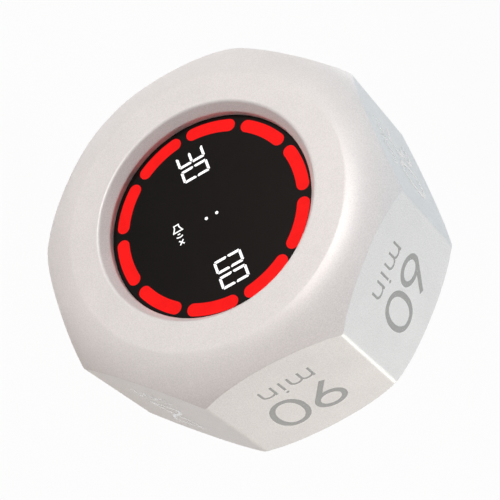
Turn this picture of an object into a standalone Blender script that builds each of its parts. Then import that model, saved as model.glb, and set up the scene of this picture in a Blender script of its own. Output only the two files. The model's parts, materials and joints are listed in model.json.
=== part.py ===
"""Octagonal flip timer with a round display: every piece as its own closed solid.

Metres, +Z up. The timer stands on one of its eight flats, centred on the origin, and the display
looks along -Y. Pieces are built round an empty on the display's axis, whose +Z is the way the
display looks. A depth is counted from the front end's flat face into the body.
"""
import math

import bmesh
import bpy
from mathutils import Matrix, Vector

# Body: an octagonal prism whose two ends are turned round
ACROSS_FLATS = 0.0700
BODY_DEPTH = 0.0372
LONG_EDGE_RADIUS = 0.0013
END_FLAT_RADIUS = 0.0289
END_ARC_RADIUS = 0.01316
END_ARC_INSET = 0.0022
SIDE_WALL = 0.0024
HOLLOW_EDGE_RADIUS = 0.0017
REAR_RIM_WIDTH = 0.0004
SIDES = 8

# Clearances, cuts and roundness
GAP = 0.0003
OVERRUN = 0.0012
EMBED = 0.0008
SMALL_CHAMFER = 0.0003
ROUND_STEPS = 64
INNER_STEPS = 48
MIDDLE_STEPS = 32
FINE_STEPS = 16
SCREW_STEPS = 12
TAB_STEPS = 10
SOUND_HOLE_STEPS = 10
END_ARC_STEPS = 6
HOLLOW_ARC_STEPS = 4
LONG_EDGE_STEPS = 3
HOLLOW_EDGE_STEPS = 1

# Window and the stack behind it
WINDOW_FLOOR_RADIUS = 0.02125
RECESS_FLARE = 0.00145
RECESS_SLOPE_DEPTH = 0.0021
LIP_SOFTENING = 0.0004
RECESS_DEPTH = 0.0034
LENS_OVERLAP = 0.00195
LENS_THICKNESS = 0.0016
GASKET_WIDTH = 0.0007
GASKET_THICKNESS = 0.0004
RING_EDGE_MARGIN = 0.00085
RING_WIDTH = 0.0026
BAR_SPACING = 0.00142
BAR_COUNT = 10
BAR_ARC_STEPS = 5
BAR_END_STEPS = 4
GUIDE_BASE_THICKNESS = 0.0008
GUIDE_INNER_MARGIN = 0.0006
GUIDE_OUTER_MARGIN = 0.0008
BAFFLE_DEPTH = 0.0019
BAFFLE_WINDOW_LENGTH = 0.0040
BAFFLE_WINDOW_WIDTH = 0.0024
LED_LENGTH = 0.0020
LED_WIDTH = 0.0013
LED_HEIGHT = 0.0008
DIGIT_WIDTH_SHARE = 0.475
DIGIT_WALL = 0.0007
PAIR_WALL = 0.0018
WELL_RIM = 0.0009
COLON_WINDOW_RADIUS = 0.0020
SIGN_HEIGHT = 0.0023
SIGN_END_WALL = 0.0005
SIGN_WALL = 0.0010
DISPLAY_BOARD_THICKNESS = 0.0012
DRIVER_SIZE = 0.0050
DRIVER_HEIGHT = 0.0009
RETAINER_THICKNESS = 0.0018
RETAINER_WIDTH = 0.0062
RETAINER_SOCKET_CLEARANCE = 0.00189
RETAINER_TAB_RADIUS = 0.0018

# Screws and the posts they bite into
SCREW_HEAD_RADIUS = 0.0015
SCREW_HEAD_HEIGHT = 0.0010
SCREW_SHANK_RADIUS = 0.0008
SCREW_LENGTH = 0.0048
SCREW_RECESS_RADIUS = 0.0008
SCREW_RECESS_DEPTH = 0.0006
SCREW_RECESS_SIDES = 6
FRONT_POST_RADIUS = 0.0017
REAR_POST_RADIUS = 0.0020
REAR_POST_LENGTH = 0.0052
BOARD_POST_RADIUS = 0.0020
POST_COUNT = 4

# Rear cover and what it carries
COVER_THICKNESS = 0.0024
LEDGE_WIDTH = 0.0010
LEDGE_THICKNESS = 0.0020
COUNTERBORE_WALL = 0.0008
SOUND_HOLE_RADIUS = 0.0006
SOUND_HOLE_CIRCLE = 0.0021
SOUND_HOLE_COUNT = 6
FOOT_RADIUS = 0.0026
FOOT_MARGIN = 0.0016
FOOT_PROUD = 0.0004
FOOT_POCKET_DEPTH = 0.0006
MAGNET_RADIUS = 0.0040
MAGNET_THICKNESS = 0.0020
MAGNET_SINK = 0.0002
MAGNET_CUP_WALL = 0.0008

# Main board and what stands on it. Places are shares of the board's radius.
MAIN_BOARD_THICKNESS = 0.0012
MAIN_BOARD_MARGIN = 0.0008
BOARD_STANDOFF = 0.0056
BOARD_POST_EDGE = 0.0026
SOCKET_SCREW_CLEARANCE = 0.0015
CELL_SCREW_CLEARANCE = 0.0005
MAGNET_SHARES = ((-0.68, 0.33), (0.68, 0.33))
CHIP_HEIGHT = 0.0009
CONTROLLER_SIZE = 0.0060
CONTROLLER_SHARE = (0, -0.35)
TILT_SENSOR_SIZE = 0.0030
TILT_SENSOR_SHARE = (-0.70, 0)
CHARGE_CHIP_SIZE = 0.0030
CHARGE_CHIP_SHARE = (0.37, -0.48)
BUZZER_RADIUS = 0.0045
BUZZER_HEIGHT = 0.0045
BUZZER_PORT_RADIUS = 0.0010
BUZZER_PORT_DEPTH = 0.0008
BUZZER_SHARE = (0, 0.37)

# Charging socket
USB_WIDTH = 0.00894
USB_HEIGHT = 0.00326
USB_CORNER_RADIUS = 0.0015
USB_WALL = 0.00035
USB_RECESS = 0.0003
USB_BLOCK_HEIGHT = 0.0016
USB_TONGUE_WIDTH = 0.0066
USB_TONGUE_THICKNESS = 0.0007
USB_TONGUE_SETBACK = 0.0008
USB_SHARE = (0, -0.64)
USB_CORNER_STEPS = 4

# Sound button
BUTTON_RADIUS = 0.0032
BUTTON_FLANGE_WIDTH = 0.0009
BUTTON_FLANGE_THICKNESS = 0.0012
BUTTON_RECESS = 0.0003
BUTTON_DISH_RADIUS = 0.0024
BUTTON_DISH_DEPTH = 0.0003
BUTTON_TRAVEL = 0.0005
BUTTON_SHARE = (-0.37, -0.13)
TACT_SIZE = 0.0060
TACT_HEIGHT = 0.0020
TACT_FLOOR = 0.0006
PLUNGER_RADIUS = 0.0012

# Power slider
KNOB_LENGTH = 0.0036
KNOB_WIDTH = 0.0026
KNOB_RECESS = 0.0003
KNOB_GROOVE_WIDTH = 0.0004
KNOB_GROOVE_DEPTH = 0.0003
KNOB_GROOVE_PITCH = 0.0009
KNOB_GROOVE_COUNT = 3
KNOB_FLANGE_MARGIN = 0.0012
KNOB_FLANGE_THICKNESS = 0.0012
KNOB_POCKET_ROOF = 0.0003
SLIDE_TRAVEL = 0.0020
SLIDE_SHARE = (0.37, -0.13)
SLIDE_SWITCH_LENGTH = 0.0086
SLIDE_SWITCH_WIDTH = 0.0036
SLIDE_SWITCH_HEIGHT = 0.0025
SLIDE_SWITCH_FLOOR = 0.0008
LEVER_SIZE = 0.0014
KNOB_CORNER_STEPS = 2

# Cell, its leads and the ribbon between the boards
CELL_LENGTH = 0.0320
CELL_WIDTH = 0.0220
CELL_THICKNESS = 0.0070
CELL_EDGE_RADIUS = 0.0012
FOAM_THICKNESS = 0.0008
FOAM_INSET = 0.0020
LEAD_SOCKET_LENGTH = 0.0050
LEAD_SOCKET_WIDTH = 0.0030
LEAD_SOCKET_HEIGHT = 0.0035
LEAD_DIAMETER = 0.0009
LEAD_SPACING = 0.0020
LEAD_BEND_RADIUS = 0.0025
LEAD_STRAIGHT = 0.0007
LEAD_BEND_STEPS = 8
RIBBON_SOCKET_LENGTH = 0.0085
RIBBON_SOCKET_WIDTH = 0.0030
RIBBON_SOCKET_HEIGHT = 0.0016
RIBBON_SOCKET_MARGIN = 0.0005
RIBBON_WIDTH = 0.0070
RIBBON_THICKNESS = 0.00025
RIBBON_BOW = 0.0020
RIBBON_STEPS = 12

# Depths worked out from the sizes above, front to back
LENS_FRONT = RECESS_DEPTH
FRONT_WALL = LENS_FRONT - GAP
LENS_BACK = LENS_FRONT + LENS_THICKNESS
GUIDE_FRONT = LENS_BACK + GAP
GUIDE_BACK = GUIDE_FRONT + GUIDE_BASE_THICKNESS
BAFFLE_FRONT = GUIDE_BACK + GAP
BAFFLE_BACK = BAFFLE_FRONT + BAFFLE_DEPTH
DISPLAY_BOARD_FRONT = BAFFLE_BACK + GAP
DISPLAY_BOARD_BACK = DISPLAY_BOARD_FRONT + DISPLAY_BOARD_THICKNESS
RETAINER_FRONT = DISPLAY_BOARD_BACK + GAP
RETAINER_BACK = RETAINER_FRONT + RETAINER_THICKNESS
DEPTH_OVER_FEET = BODY_DEPTH + FOOT_PROUD
COVER_FRONT = BODY_DEPTH - COVER_THICKNESS
LEDGE_BACK = COVER_FRONT - GAP
LEDGE_FRONT = LEDGE_BACK - LEDGE_THICKNESS
MAIN_BOARD_BACK = COVER_FRONT - BOARD_STANDOFF
MAIN_BOARD_FRONT = MAIN_BOARD_BACK - MAIN_BOARD_THICKNESS
FOAM_BACK = MAIN_BOARD_FRONT - GAP
CELL_BACK = FOAM_BACK - FOAM_THICKNESS - GAP
CELL_FRONT = CELL_BACK - CELL_THICKNESS
COVER_HEAD_BACK = BODY_DEPTH - GAP
COVER_HEAD_FRONT = COVER_HEAD_BACK - SCREW_HEAD_HEIGHT
RETAINER_HEAD_FRONT = RETAINER_BACK + GAP
BOARD_HEAD_BACK = MAIN_BOARD_FRONT - GAP

# Radii and distances worked out from the sizes above
APOTHEM = ACROSS_FLATS / 2
WINDOW_LIP_RADIUS = WINDOW_FLOOR_RADIUS + RECESS_FLARE
STACK_RADIUS = WINDOW_FLOOR_RADIUS + LENS_OVERLAP
RING_OUTER_RADIUS = WINDOW_FLOOR_RADIUS - RING_EDGE_MARGIN
RING_INNER_RADIUS = RING_OUTER_RADIUS - RING_WIDTH
RING_MIDDLE_RADIUS = RING_OUTER_RADIUS - RING_WIDTH / 2
GUIDE_INNER_RADIUS = RING_INNER_RADIUS - GUIDE_INNER_MARGIN
GUIDE_OUTER_RADIUS = RING_OUTER_RADIUS + GUIDE_OUTER_MARGIN
REFLECTOR_RADIUS = GUIDE_INNER_RADIUS - GAP
ROOM_SHARE = 2 * math.tan(math.pi / SIDES)
PAIR_REACH = REFLECTOR_RADIUS - WELL_RIM
DIGIT_HEIGHT = ((ROOM_SHARE * (PAIR_REACH - DIGIT_WALL) - PAIR_WALL)
                / (1 + 2 * ROOM_SHARE * DIGIT_WIDTH_SHARE))
DIGIT_WIDTH = DIGIT_WIDTH_SHARE * DIGIT_HEIGHT
DIGIT_PITCH = DIGIT_WIDTH + DIGIT_WALL
PAIR_DISTANCE = PAIR_REACH - DIGIT_WIDTH / 2 - DIGIT_PITCH / 2
SIGN_REACH = PAIR_DISTANCE - DIGIT_PITCH / 2 - DIGIT_WIDTH / 2 - SIGN_WALL
SIGN_DISTANCE = SIGN_REACH - SIGN_HEIGHT / 2
SIGN_LENGTH = ROOM_SHARE * (SIGN_REACH - SIGN_HEIGHT) - SIGN_END_WALL
PILOT_RADIUS = SCREW_SHANK_RADIUS + GAP
COUNTERBORE_RADIUS = SCREW_HEAD_RADIUS + GAP
FRONT_POST_DISTANCE = STACK_RADIUS + 2 * GAP + FRONT_POST_RADIUS
SEAT_RADIUS = END_FLAT_RADIUS - REAR_RIM_WIDTH
COVER_RADIUS = SEAT_RADIUS - GAP
OPENING_RADIUS = SEAT_RADIUS - LEDGE_WIDTH
REAR_POST_DISTANCE = COVER_RADIUS - COUNTERBORE_WALL - COUNTERBORE_RADIUS
MAIN_BOARD_RADIUS = REAR_POST_DISTANCE - REAR_POST_RADIUS - MAIN_BOARD_MARGIN
FOOT_DISTANCE = COVER_RADIUS - FOOT_MARGIN - FOOT_RADIUS
RETAINER_INNER_RADIUS = STACK_RADIUS - RETAINER_WIDTH
SOCKET_CORNER_RADIUS = RETAINER_INNER_RADIUS - RETAINER_SOCKET_CLEARANCE
DISPLAY_SOCKET_REACH = (math.sqrt(SOCKET_CORNER_RADIUS ** 2 - (RIBBON_SOCKET_LENGTH / 2) ** 2)
                        - RIBBON_SOCKET_WIDTH / 2)
BOARD_SOCKET_REACH = CELL_WIDTH / 2 + RIBBON_SOCKET_MARGIN + RIBBON_SOCKET_WIDTH / 2

STRAIGHT_TURNS = [math.tau * k / POST_COUNT for k in range(POST_COUNT)]
DIAGONAL_TURNS = [math.tau * (k + 1 / 2) / POST_COUNT for k in range(POST_COUNT)]
CORNER_TURNS = [turn + math.pi / SIDES for turn in STRAIGHT_TURNS]


def on_board(shares):
    """A spot given in shares of the main board's radius."""
    return (shares[0] * MAIN_BOARD_RADIUS, shares[1] * MAIN_BOARD_RADIUS)


UPPER_POST_HEIGHT = (BOARD_SOCKET_REACH + RIBBON_SOCKET_WIDTH / 2 + SOCKET_SCREW_CLEARANCE
                     + SCREW_HEAD_RADIUS)
LOWER_POST_DROP = CELL_WIDTH / 2 + CELL_SCREW_CLEARANCE + SCREW_HEAD_RADIUS
LOWER_POST_SIDE = math.sqrt((MAIN_BOARD_RADIUS - BOARD_POST_EDGE) ** 2 - LOWER_POST_DROP ** 2)
BOARD_POST_SPOTS = [(0, UPPER_POST_HEIGHT), (-LOWER_POST_SIDE, -LOWER_POST_DROP),
                    (LOWER_POST_SIDE, -LOWER_POST_DROP)]
MAGNET_SPOTS = [on_board(shares) for shares in MAGNET_SHARES]
BUZZER_SPOT = on_board(BUZZER_SHARE)
USB_SPOT = on_board(USB_SHARE)
BUTTON_SPOT = on_board(BUTTON_SHARE)
SLIDE_SPOT = on_board(SLIDE_SHARE)


def start_file():
    """Empties the file and returns the collections and the empty on the display's axis."""
    for old in list(bpy.data.objects):
        bpy.data.objects.remove(old, do_unlink=True)
    parts = bpy.data.collections.new("flip_timer")
    cutters = bpy.data.collections.new("cutters")
    bpy.context.scene.collection.children.link(parts)
    bpy.context.scene.collection.children.link(cutters)
    axis = bpy.data.objects.new("display_axis", None)
    axis.location = (0, -DEPTH_OVER_FEET / 2, APOTHEM)
    axis.rotation_euler = (math.radians(90), 0, 0)
    parts.objects.link(axis)
    return parts, cutters, axis


PARTS, CUTTERS, AXIS = start_file()


def plastic(name, colour, roughness, metallic=0.0):
    """A Principled material of one colour."""
    material = bpy.data.materials.new(name)
    material.use_nodes = True
    shader = material.node_tree.nodes["Principled BSDF"]
    shader.inputs["Base Color"].default_value = (*colour, 1)
    shader.inputs["Roughness"].default_value = roughness
    shader.inputs["Metallic"].default_value = metallic
    material.diffuse_color = (*colour, 1)
    return material


OFF_WHITE = plastic("off_white_shell", (0.78, 0.76, 0.74), 0.50)
COVER_WHITE = plastic("off_white_cover", (0.74, 0.72, 0.70), 0.55)
BLACK_LENS = plastic("black_lens", (0.012, 0.010, 0.009), 0.12)
RED_GUIDE = plastic("red_light_guide", (0.93, 0.012, 0.012), 0.30)
WHITE_REFLECTOR = plastic("white_reflector", (0.85, 0.85, 0.84), 0.45)
BLACK_FRAME = plastic("black_frame", (0.03, 0.03, 0.03), 0.50)
GREEN_BOARD = plastic("green_board", (0.02, 0.14, 0.06), 0.40)
CHIP_BLACK = plastic("chip_black", (0.02, 0.02, 0.022), 0.55)
LED_WHITE = plastic("led_white", (0.80, 0.78, 0.68), 0.35)
BRIGHT_STEEL = plastic("bright_steel", (0.62, 0.62, 0.63), 0.28, 1.0)
DARK_STEEL = plastic("dark_steel", (0.32, 0.32, 0.33), 0.35, 1.0)
CELL_SILVER = plastic("cell_silver", (0.60, 0.61, 0.62), 0.38, 0.8)
FOAM_GREY = plastic("foam_grey", (0.10, 0.10, 0.10), 0.90)
RUBBER_GREY = plastic("rubber_grey", (0.22, 0.22, 0.22), 0.80)
RED_LEAD = plastic("red_lead", (0.60, 0.03, 0.02), 0.45)
BLACK_LEAD = plastic("black_lead", (0.02, 0.02, 0.02), 0.45)
RIBBON_AMBER = plastic("ribbon_amber", (0.55, 0.25, 0.05), 0.40)


def place(obj, collection, spot=(0, 0), depth=0):
    """Hangs an object on the display's axis, its origin at a spot and a depth."""
    collection.objects.link(obj)
    obj.parent = AXIS
    obj.location = (spot[0], spot[1], -depth)
    return obj


def finish_piece(obj, material, spot=(0, 0), depth=0):
    """Puts a piece in the timer's collection with its material and smooth round sides."""
    place(obj, PARTS, spot, depth)
    obj.data.materials.clear()
    obj.data.materials.append(material)
    obj.data.shade_smooth()
    obj.data.set_sharp_from_angle(angle=math.radians(35))
    return obj


def hide_cutter(obj, spot=(0, 0), depth=0):
    """Puts a shape among the cutters, drawn as wire and never rendered."""
    place(obj, CUTTERS, spot, depth)
    obj.display_type = "WIRE"
    obj.hide_render = True
    return obj


def combine(obj, other, operation):
    """Adds a Boolean of another object."""
    boolean = obj.modifiers.new(f"{operation.lower()}_{other.name}", "BOOLEAN")
    boolean.operation = operation
    boolean.solver = "EXACT"
    boolean.object = other


def mesh_object(name, shape):
    """Turns a bmesh into an object and frees it."""
    mesh = bpy.data.meshes.new(name)
    shape.to_mesh(mesh)
    shape.free()
    return bpy.data.objects.new(name, mesh)


def drums(name, spots, radius, depth_from, depth_to, steps=FINE_STEPS):
    """Equal cylinders along the axis at several spots, as one mesh."""
    shape = bmesh.new()
    for x, y in spots:
        middle = Matrix.Translation((x, y, -(depth_from + depth_to) / 2))
        bmesh.ops.create_cone(shape, cap_ends=True, segments=steps, radius1=radius, radius2=radius,
                              depth=abs(depth_to - depth_from), matrix=middle)
    return mesh_object(name, shape)


def boxes(name, places, size):
    """Equal boxes, each at a spot with a turn about the axis, centred on depth zero."""
    shape = bmesh.new()
    for x, y, turn in places:
        matrix = (Matrix.Translation((x, y, 0)) @ Matrix.Rotation(turn, 4, "Z")
                  @ Matrix.Diagonal((*size, 1)))
        bmesh.ops.create_cube(shape, size=1, matrix=matrix)
    return mesh_object(name, shape)


def rounded_bar(name, length, width, thickness, radius, steps=USB_CORNER_STEPS):
    """A box whose four edges along the axis are rounded, centred on its origin."""
    shape = bmesh.new()
    bmesh.ops.create_cube(shape, size=1, matrix=Matrix.Diagonal((length, width, thickness, 1)))
    upright = [edge for edge in shape.edges
               if abs((edge.verts[0].co - edge.verts[1].co).normalized().z) > 1 / 2]
    bmesh.ops.bevel(shape, geom=upright, offset=radius, segments=steps, profile=1 / 2,
                    affect="EDGES", clamp_overlap=True)
    return mesh_object(name, shape)


def turned(name, profile, closed=False, steps=ROUND_STEPS):
    """A Screw of a profile of (radius, depth) points that runs down its outer side."""
    mesh = bpy.data.meshes.new(name)
    edges = [(k, k + 1) for k in range(len(profile) - 1)]
    if closed:
        edges.append((len(profile) - 1, 0))
    mesh.from_pydata([(radius, 0, -depth) for radius, depth in profile], edges, [])
    obj = bpy.data.objects.new(name, mesh)
    screw = obj.modifiers.new("turn", "SCREW")
    screw.axis = "Z"
    screw.angle = math.tau
    screw.steps = steps
    screw.render_steps = steps
    screw.use_merge_vertices = True
    screw.merge_threshold = SMALL_CHAMFER / ROUND_STEPS
    screw.use_smooth_shade = True
    return whole_flats(obj)


def whole_flats(obj):
    """Joins the faces of each flat area into one."""
    flats = obj.modifiers.new("whole_flats", "DECIMATE")
    flats.decimate_type = "DISSOLVE"
    flats.angle_limit = math.radians(1)
    return obj


def ring_profile(inner, outer, depth_from, depth_to):
    """A square ring section, outer side first."""
    return [(outer, depth_from), (outer, depth_to), (inner, depth_to), (inner, depth_from)]


def plate(name, outlines, thickness):
    """Flat outlines filled and thickened about depth zero, as one mesh of loose plates."""
    curve = bpy.data.curves.new(name, "CURVE")
    curve.dimensions = "2D"
    curve.fill_mode = "BOTH"
    curve.extrude = thickness / 2
    for outline in outlines:
        spline = curve.splines.new("POLY")
        spline.points.add(len(outline) - 1)
        for point, (x, y) in zip(spline.points, outline):
            point.co = (x, y, 0, 1)
        spline.use_cyclic_u = True
    return mesh_from_curve(name, curve, thickness / ROUND_STEPS)


def mesh_from_curve(name, curve, weld):
    """Makes a closed mesh object of a curve and removes the curve."""
    source = bpy.data.objects.new(name, curve)
    bpy.context.scene.collection.objects.link(source)
    graph = bpy.context.evaluated_depsgraph_get()
    mesh = bpy.data.meshes.new_from_object(source.evaluated_get(graph))
    bpy.data.objects.remove(source, do_unlink=True)
    shape = bmesh.new()
    shape.from_mesh(mesh)
    bmesh.ops.remove_doubles(shape, verts=shape.verts, dist=weld)
    bmesh.ops.recalc_face_normals(shape, faces=shape.faces)
    shape.to_mesh(mesh)
    shape.free()
    mesh.name = name
    return bpy.data.objects.new(name, mesh)


def settled_mesh(obj):
    """The mesh of an object after its modifiers, for copies to share. The object is removed."""
    bpy.context.view_layer.update()
    graph = bpy.context.evaluated_depsgraph_get()
    mesh = bpy.data.meshes.new_from_object(obj.evaluated_get(graph))
    mesh.name = obj.name
    bpy.data.objects.remove(obj, do_unlink=True)
    return mesh


def polar(distance, angle):
    """A spot at a distance from the axis."""
    return (distance * math.cos(angle), distance * math.sin(angle))


def arc_points(centre, radius, angle_from, angle_to, steps):
    """Points along an arc, both ends included."""
    turns = [angle_from + (angle_to - angle_from) * k / steps for k in range(steps + 1)]
    return [(centre[0] + radius * math.cos(t), centre[1] + radius * math.sin(t)) for t in turns]


def tab_outline(angle, end_distance, root_distance, radius):
    """A tab across the radius: a round end at one distance, a square root at another."""
    outward = 1 if end_distance > root_distance else -1
    start = -math.pi / 2 if outward > 0 else math.pi / 2
    end = arc_points((end_distance, 0), radius, start, start + math.pi, TAB_STEPS)
    root_edge = end[-1][1]
    outline = end + [(root_distance, root_edge), (root_distance, -root_edge)]
    turn = Matrix.Rotation(angle, 2)
    return [tuple(turn @ Vector(point)) for point in outline]


def bar_outline(index, clearance):
    """One light bar seen from the front: a stretch of the ring with round ends."""
    pitch = math.tau / BAR_COUNT
    half_width = RING_WIDTH / 2
    inset = (BAR_SPACING / 2 + half_width) / RING_MIDDLE_RADIUS
    start = index * pitch + inset
    stop = (index + 1) * pitch - inset
    grown = half_width + clearance
    outer = arc_points((0, 0), RING_MIDDLE_RADIUS + grown, start, stop, BAR_ARC_STEPS)
    far_end = arc_points(polar(RING_MIDDLE_RADIUS, stop), grown, stop, stop + math.pi, BAR_END_STEPS)
    inner = arc_points((0, 0), RING_MIDDLE_RADIUS - grown, stop, start, BAR_ARC_STEPS)
    near_end = arc_points(polar(RING_MIDDLE_RADIUS, start), grown, start + math.pi,
                          start + math.tau, BAR_END_STEPS)
    return outer + far_end[1:-1] + inner + near_end[1:-1]


def end_profile(inset, front, back, steps):
    """The turned outline of the body or of its hollow: flat ends and a round shoulder at each."""
    centre_radius = END_FLAT_RADIUS - END_ARC_INSET
    centre_depth = math.sqrt(END_ARC_RADIUS ** 2 - END_ARC_INSET ** 2)
    radius = END_ARC_RADIUS - inset

    def shoulder(face_depth):
        start = math.acos(min(1, (centre_depth - face_depth) / radius))
        turns = [start + (math.pi / 2 - start) * k / steps for k in range(steps + 1)]
        return [(centre_radius + radius * math.sin(t), centre_depth - radius * math.cos(t))
                for t in turns]

    near = shoulder(front)
    far = [(r, BODY_DEPTH - d) for r, d in reversed(shoulder(BODY_DEPTH - back))]
    return [(0, front)] + near + far + [(0, back)]


def octagon_prism(name, apothem, edge_radius, edge_steps):
    """A prism across eight flats with rounded long edges, longer than the body."""
    corner = apothem / math.cos(math.pi / SIDES)
    shape = bmesh.new()
    turn = Matrix.Translation((0, 0, -BODY_DEPTH / 2)) @ Matrix.Rotation(math.pi / SIDES, 4, "Z")
    bmesh.ops.create_cone(shape, cap_ends=True, segments=SIDES, radius1=corner, radius2=corner,
                          depth=BODY_DEPTH + END_ARC_RADIUS, matrix=turn)
    obj = mesh_object(name, shape)
    bevel = obj.modifiers.new("long_edges", "BEVEL")
    bevel.width = edge_radius * math.tan(math.pi / SIDES)
    bevel.segments = edge_steps
    bevel.limit_method = "ANGLE"
    bevel.angle_limit = math.radians(30)
    return obj


def make_housing():
    """One moulding: the eight flats, the front end with its recess, ledge and screw posts."""
    housing = octagon_prism("housing", APOTHEM, LONG_EDGE_RADIUS, LONG_EDGE_STEPS)
    barrel = turned("housing_barrel", end_profile(0, 0, BODY_DEPTH, END_ARC_STEPS))
    combine(housing, hide_cutter(barrel), "INTERSECT")

    hollow = octagon_prism("housing_hollow", APOTHEM - SIDE_WALL, HOLLOW_EDGE_RADIUS,
                           HOLLOW_EDGE_STEPS)
    hide_cutter(hollow)
    inner_barrel = turned("hollow_barrel", end_profile(SIDE_WALL, FRONT_WALL, LEDGE_FRONT,
                                                       HOLLOW_ARC_STEPS), steps=INNER_STEPS)
    combine(hollow, hide_cutter(inner_barrel), "INTERSECT")
    combine(housing, hollow, "DIFFERENCE")
    for cutter in (make_window(), make_gasket_pocket(), make_rear_passage()):
        combine(housing, hide_cutter(cutter), "DIFFERENCE")

    front_spots = [polar(FRONT_POST_DISTANCE, angle) for angle in CORNER_TURNS]
    front_posts = drums("front_posts", front_spots, FRONT_POST_RADIUS, FRONT_WALL - EMBED,
                        DISPLAY_BOARD_BACK)
    wall_root = APOTHEM - SIDE_WALL + EMBED
    tabs = [tab_outline(angle, REAR_POST_DISTANCE, wall_root, REAR_POST_RADIUS)
            for angle in DIAGONAL_TURNS]
    rear_posts = plate("rear_posts", tabs, REAR_POST_LENGTH + EMBED)
    hide_cutter(rear_posts, depth=LEDGE_BACK + (EMBED - REAR_POST_LENGTH) / 2)
    for post in (hide_cutter(front_posts), rear_posts):
        combine(housing, post, "UNION")
    behind = BODY_DEPTH + OVERRUN
    seat = turned("cover_seat", [
        (0, LEDGE_BACK), (SEAT_RADIUS, LEDGE_BACK), (SEAT_RADIUS, behind), (0, behind)])

    front_pilots = drums("front_pilots", front_spots, PILOT_RADIUS,
                         RETAINER_HEAD_FRONT - SCREW_LENGTH - GAP, RETAINER_FRONT)
    rear_spots = [polar(REAR_POST_DISTANCE, angle) for angle in DIAGONAL_TURNS]
    rear_pilots = drums("rear_pilots", rear_spots, PILOT_RADIUS,
                        COVER_HEAD_FRONT - SCREW_LENGTH - GAP, COVER_FRONT)
    for cutter in (seat, front_pilots, rear_pilots):
        combine(housing, hide_cutter(cutter), "DIFFERENCE")
    finish_piece(housing, OFF_WHITE)


def make_window():
    """The recess through the front wall: a softened lip, a slope inwards and a straight foot."""
    lip_slope = RECESS_FLARE / RECESS_SLOPE_DEPTH
    return turned("window", [
        (0, -OVERRUN),
        (WINDOW_LIP_RADIUS + LIP_SOFTENING + OVERRUN, -OVERRUN),
        (WINDOW_LIP_RADIUS - lip_slope * LIP_SOFTENING, LIP_SOFTENING),
        (WINDOW_FLOOR_RADIUS, RECESS_SLOPE_DEPTH),
        (WINDOW_FLOOR_RADIUS, LENS_BACK),
        (0, LENS_BACK),
    ])


def make_gasket_pocket():
    """The groove behind the recess wall that the gasket sits in."""
    return turned("gasket_pocket", ring_profile(
        STACK_RADIUS - GASKET_WIDTH - GAP, STACK_RADIUS + GAP,
        FRONT_WALL - GASKET_THICKNESS - GAP, LENS_FRONT), closed=True, steps=INNER_STEPS)


def make_rear_passage():
    """The way in past the ledge that the cover rests on."""
    before = LEDGE_FRONT - OVERRUN
    return turned("rear_passage", [
        (0, before), (OPENING_RADIUS, before), (OPENING_RADIUS, COVER_FRONT), (0, COVER_FRONT)])


def make_window_stack():
    """Lens, gasket, light guide, baffle, reflector and spacer, each a gap behind the last."""
    bars_depth = GUIDE_FRONT + GUIDE_BASE_THICKNESS / 2 - LENS_FRONT
    lens = turned("display_lens", [
        (0, LENS_FRONT), (STACK_RADIUS, LENS_FRONT), (STACK_RADIUS, LENS_BACK), (0, LENS_BACK)])
    slots = plate("bar_slots", [bar_outline(k, GAP) for k in range(BAR_COUNT)],
                  LENS_THICKNESS + OVERRUN)
    hide_cutter(slots, depth=(LENS_FRONT + LENS_BACK) / 2)
    combine(lens, slots, "DIFFERENCE")
    finish_piece(lens, BLACK_LENS)

    gasket = turned("lens_gasket", ring_profile(
        STACK_RADIUS - GASKET_WIDTH, STACK_RADIUS, LENS_FRONT - GAP - GASKET_THICKNESS,
        LENS_FRONT - GAP), closed=True, steps=INNER_STEPS)
    finish_piece(gasket, FOAM_GREY)

    guide = turned("light_guide", ring_profile(GUIDE_INNER_RADIUS, GUIDE_OUTER_RADIUS,
                                               GUIDE_FRONT, GUIDE_BACK), closed=True,
                   steps=INNER_STEPS)
    bars = plate("light_bars", [bar_outline(k, 0) for k in range(BAR_COUNT)], bars_depth)
    hide_cutter(bars, depth=LENS_FRONT + bars_depth / 2)
    combine(guide, bars, "UNION")
    finish_piece(guide, RED_GUIDE)

    baffle = turned("ring_baffle", ring_profile(GUIDE_INNER_RADIUS, GUIDE_OUTER_RADIUS,
                                                BAFFLE_FRONT, BAFFLE_BACK), closed=True,
                    steps=INNER_STEPS)
    lamp_turns = [math.tau * (k + 1 / 2) / BAR_COUNT for k in range(BAR_COUNT)]
    window_places = [(*polar(RING_MIDDLE_RADIUS, t), t) for t in lamp_turns]
    windows = boxes("baffle_windows", window_places,
                    (BAFFLE_WINDOW_WIDTH, BAFFLE_WINDOW_LENGTH, BAFFLE_DEPTH + OVERRUN))
    hide_cutter(windows, depth=(BAFFLE_FRONT + BAFFLE_BACK) / 2)
    combine(baffle, windows, "DIFFERENCE")
    finish_piece(baffle, WHITE_REFLECTOR)

    spacer = turned("display_spacer", ring_profile(GUIDE_OUTER_RADIUS + GAP, STACK_RADIUS,
                                                   GUIDE_FRONT, BAFFLE_BACK), closed=True,
                    steps=INNER_STEPS)
    finish_piece(spacer, BLACK_FRAME)
    make_digit_reflector()
    make_ring_leds(lamp_turns)


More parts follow.
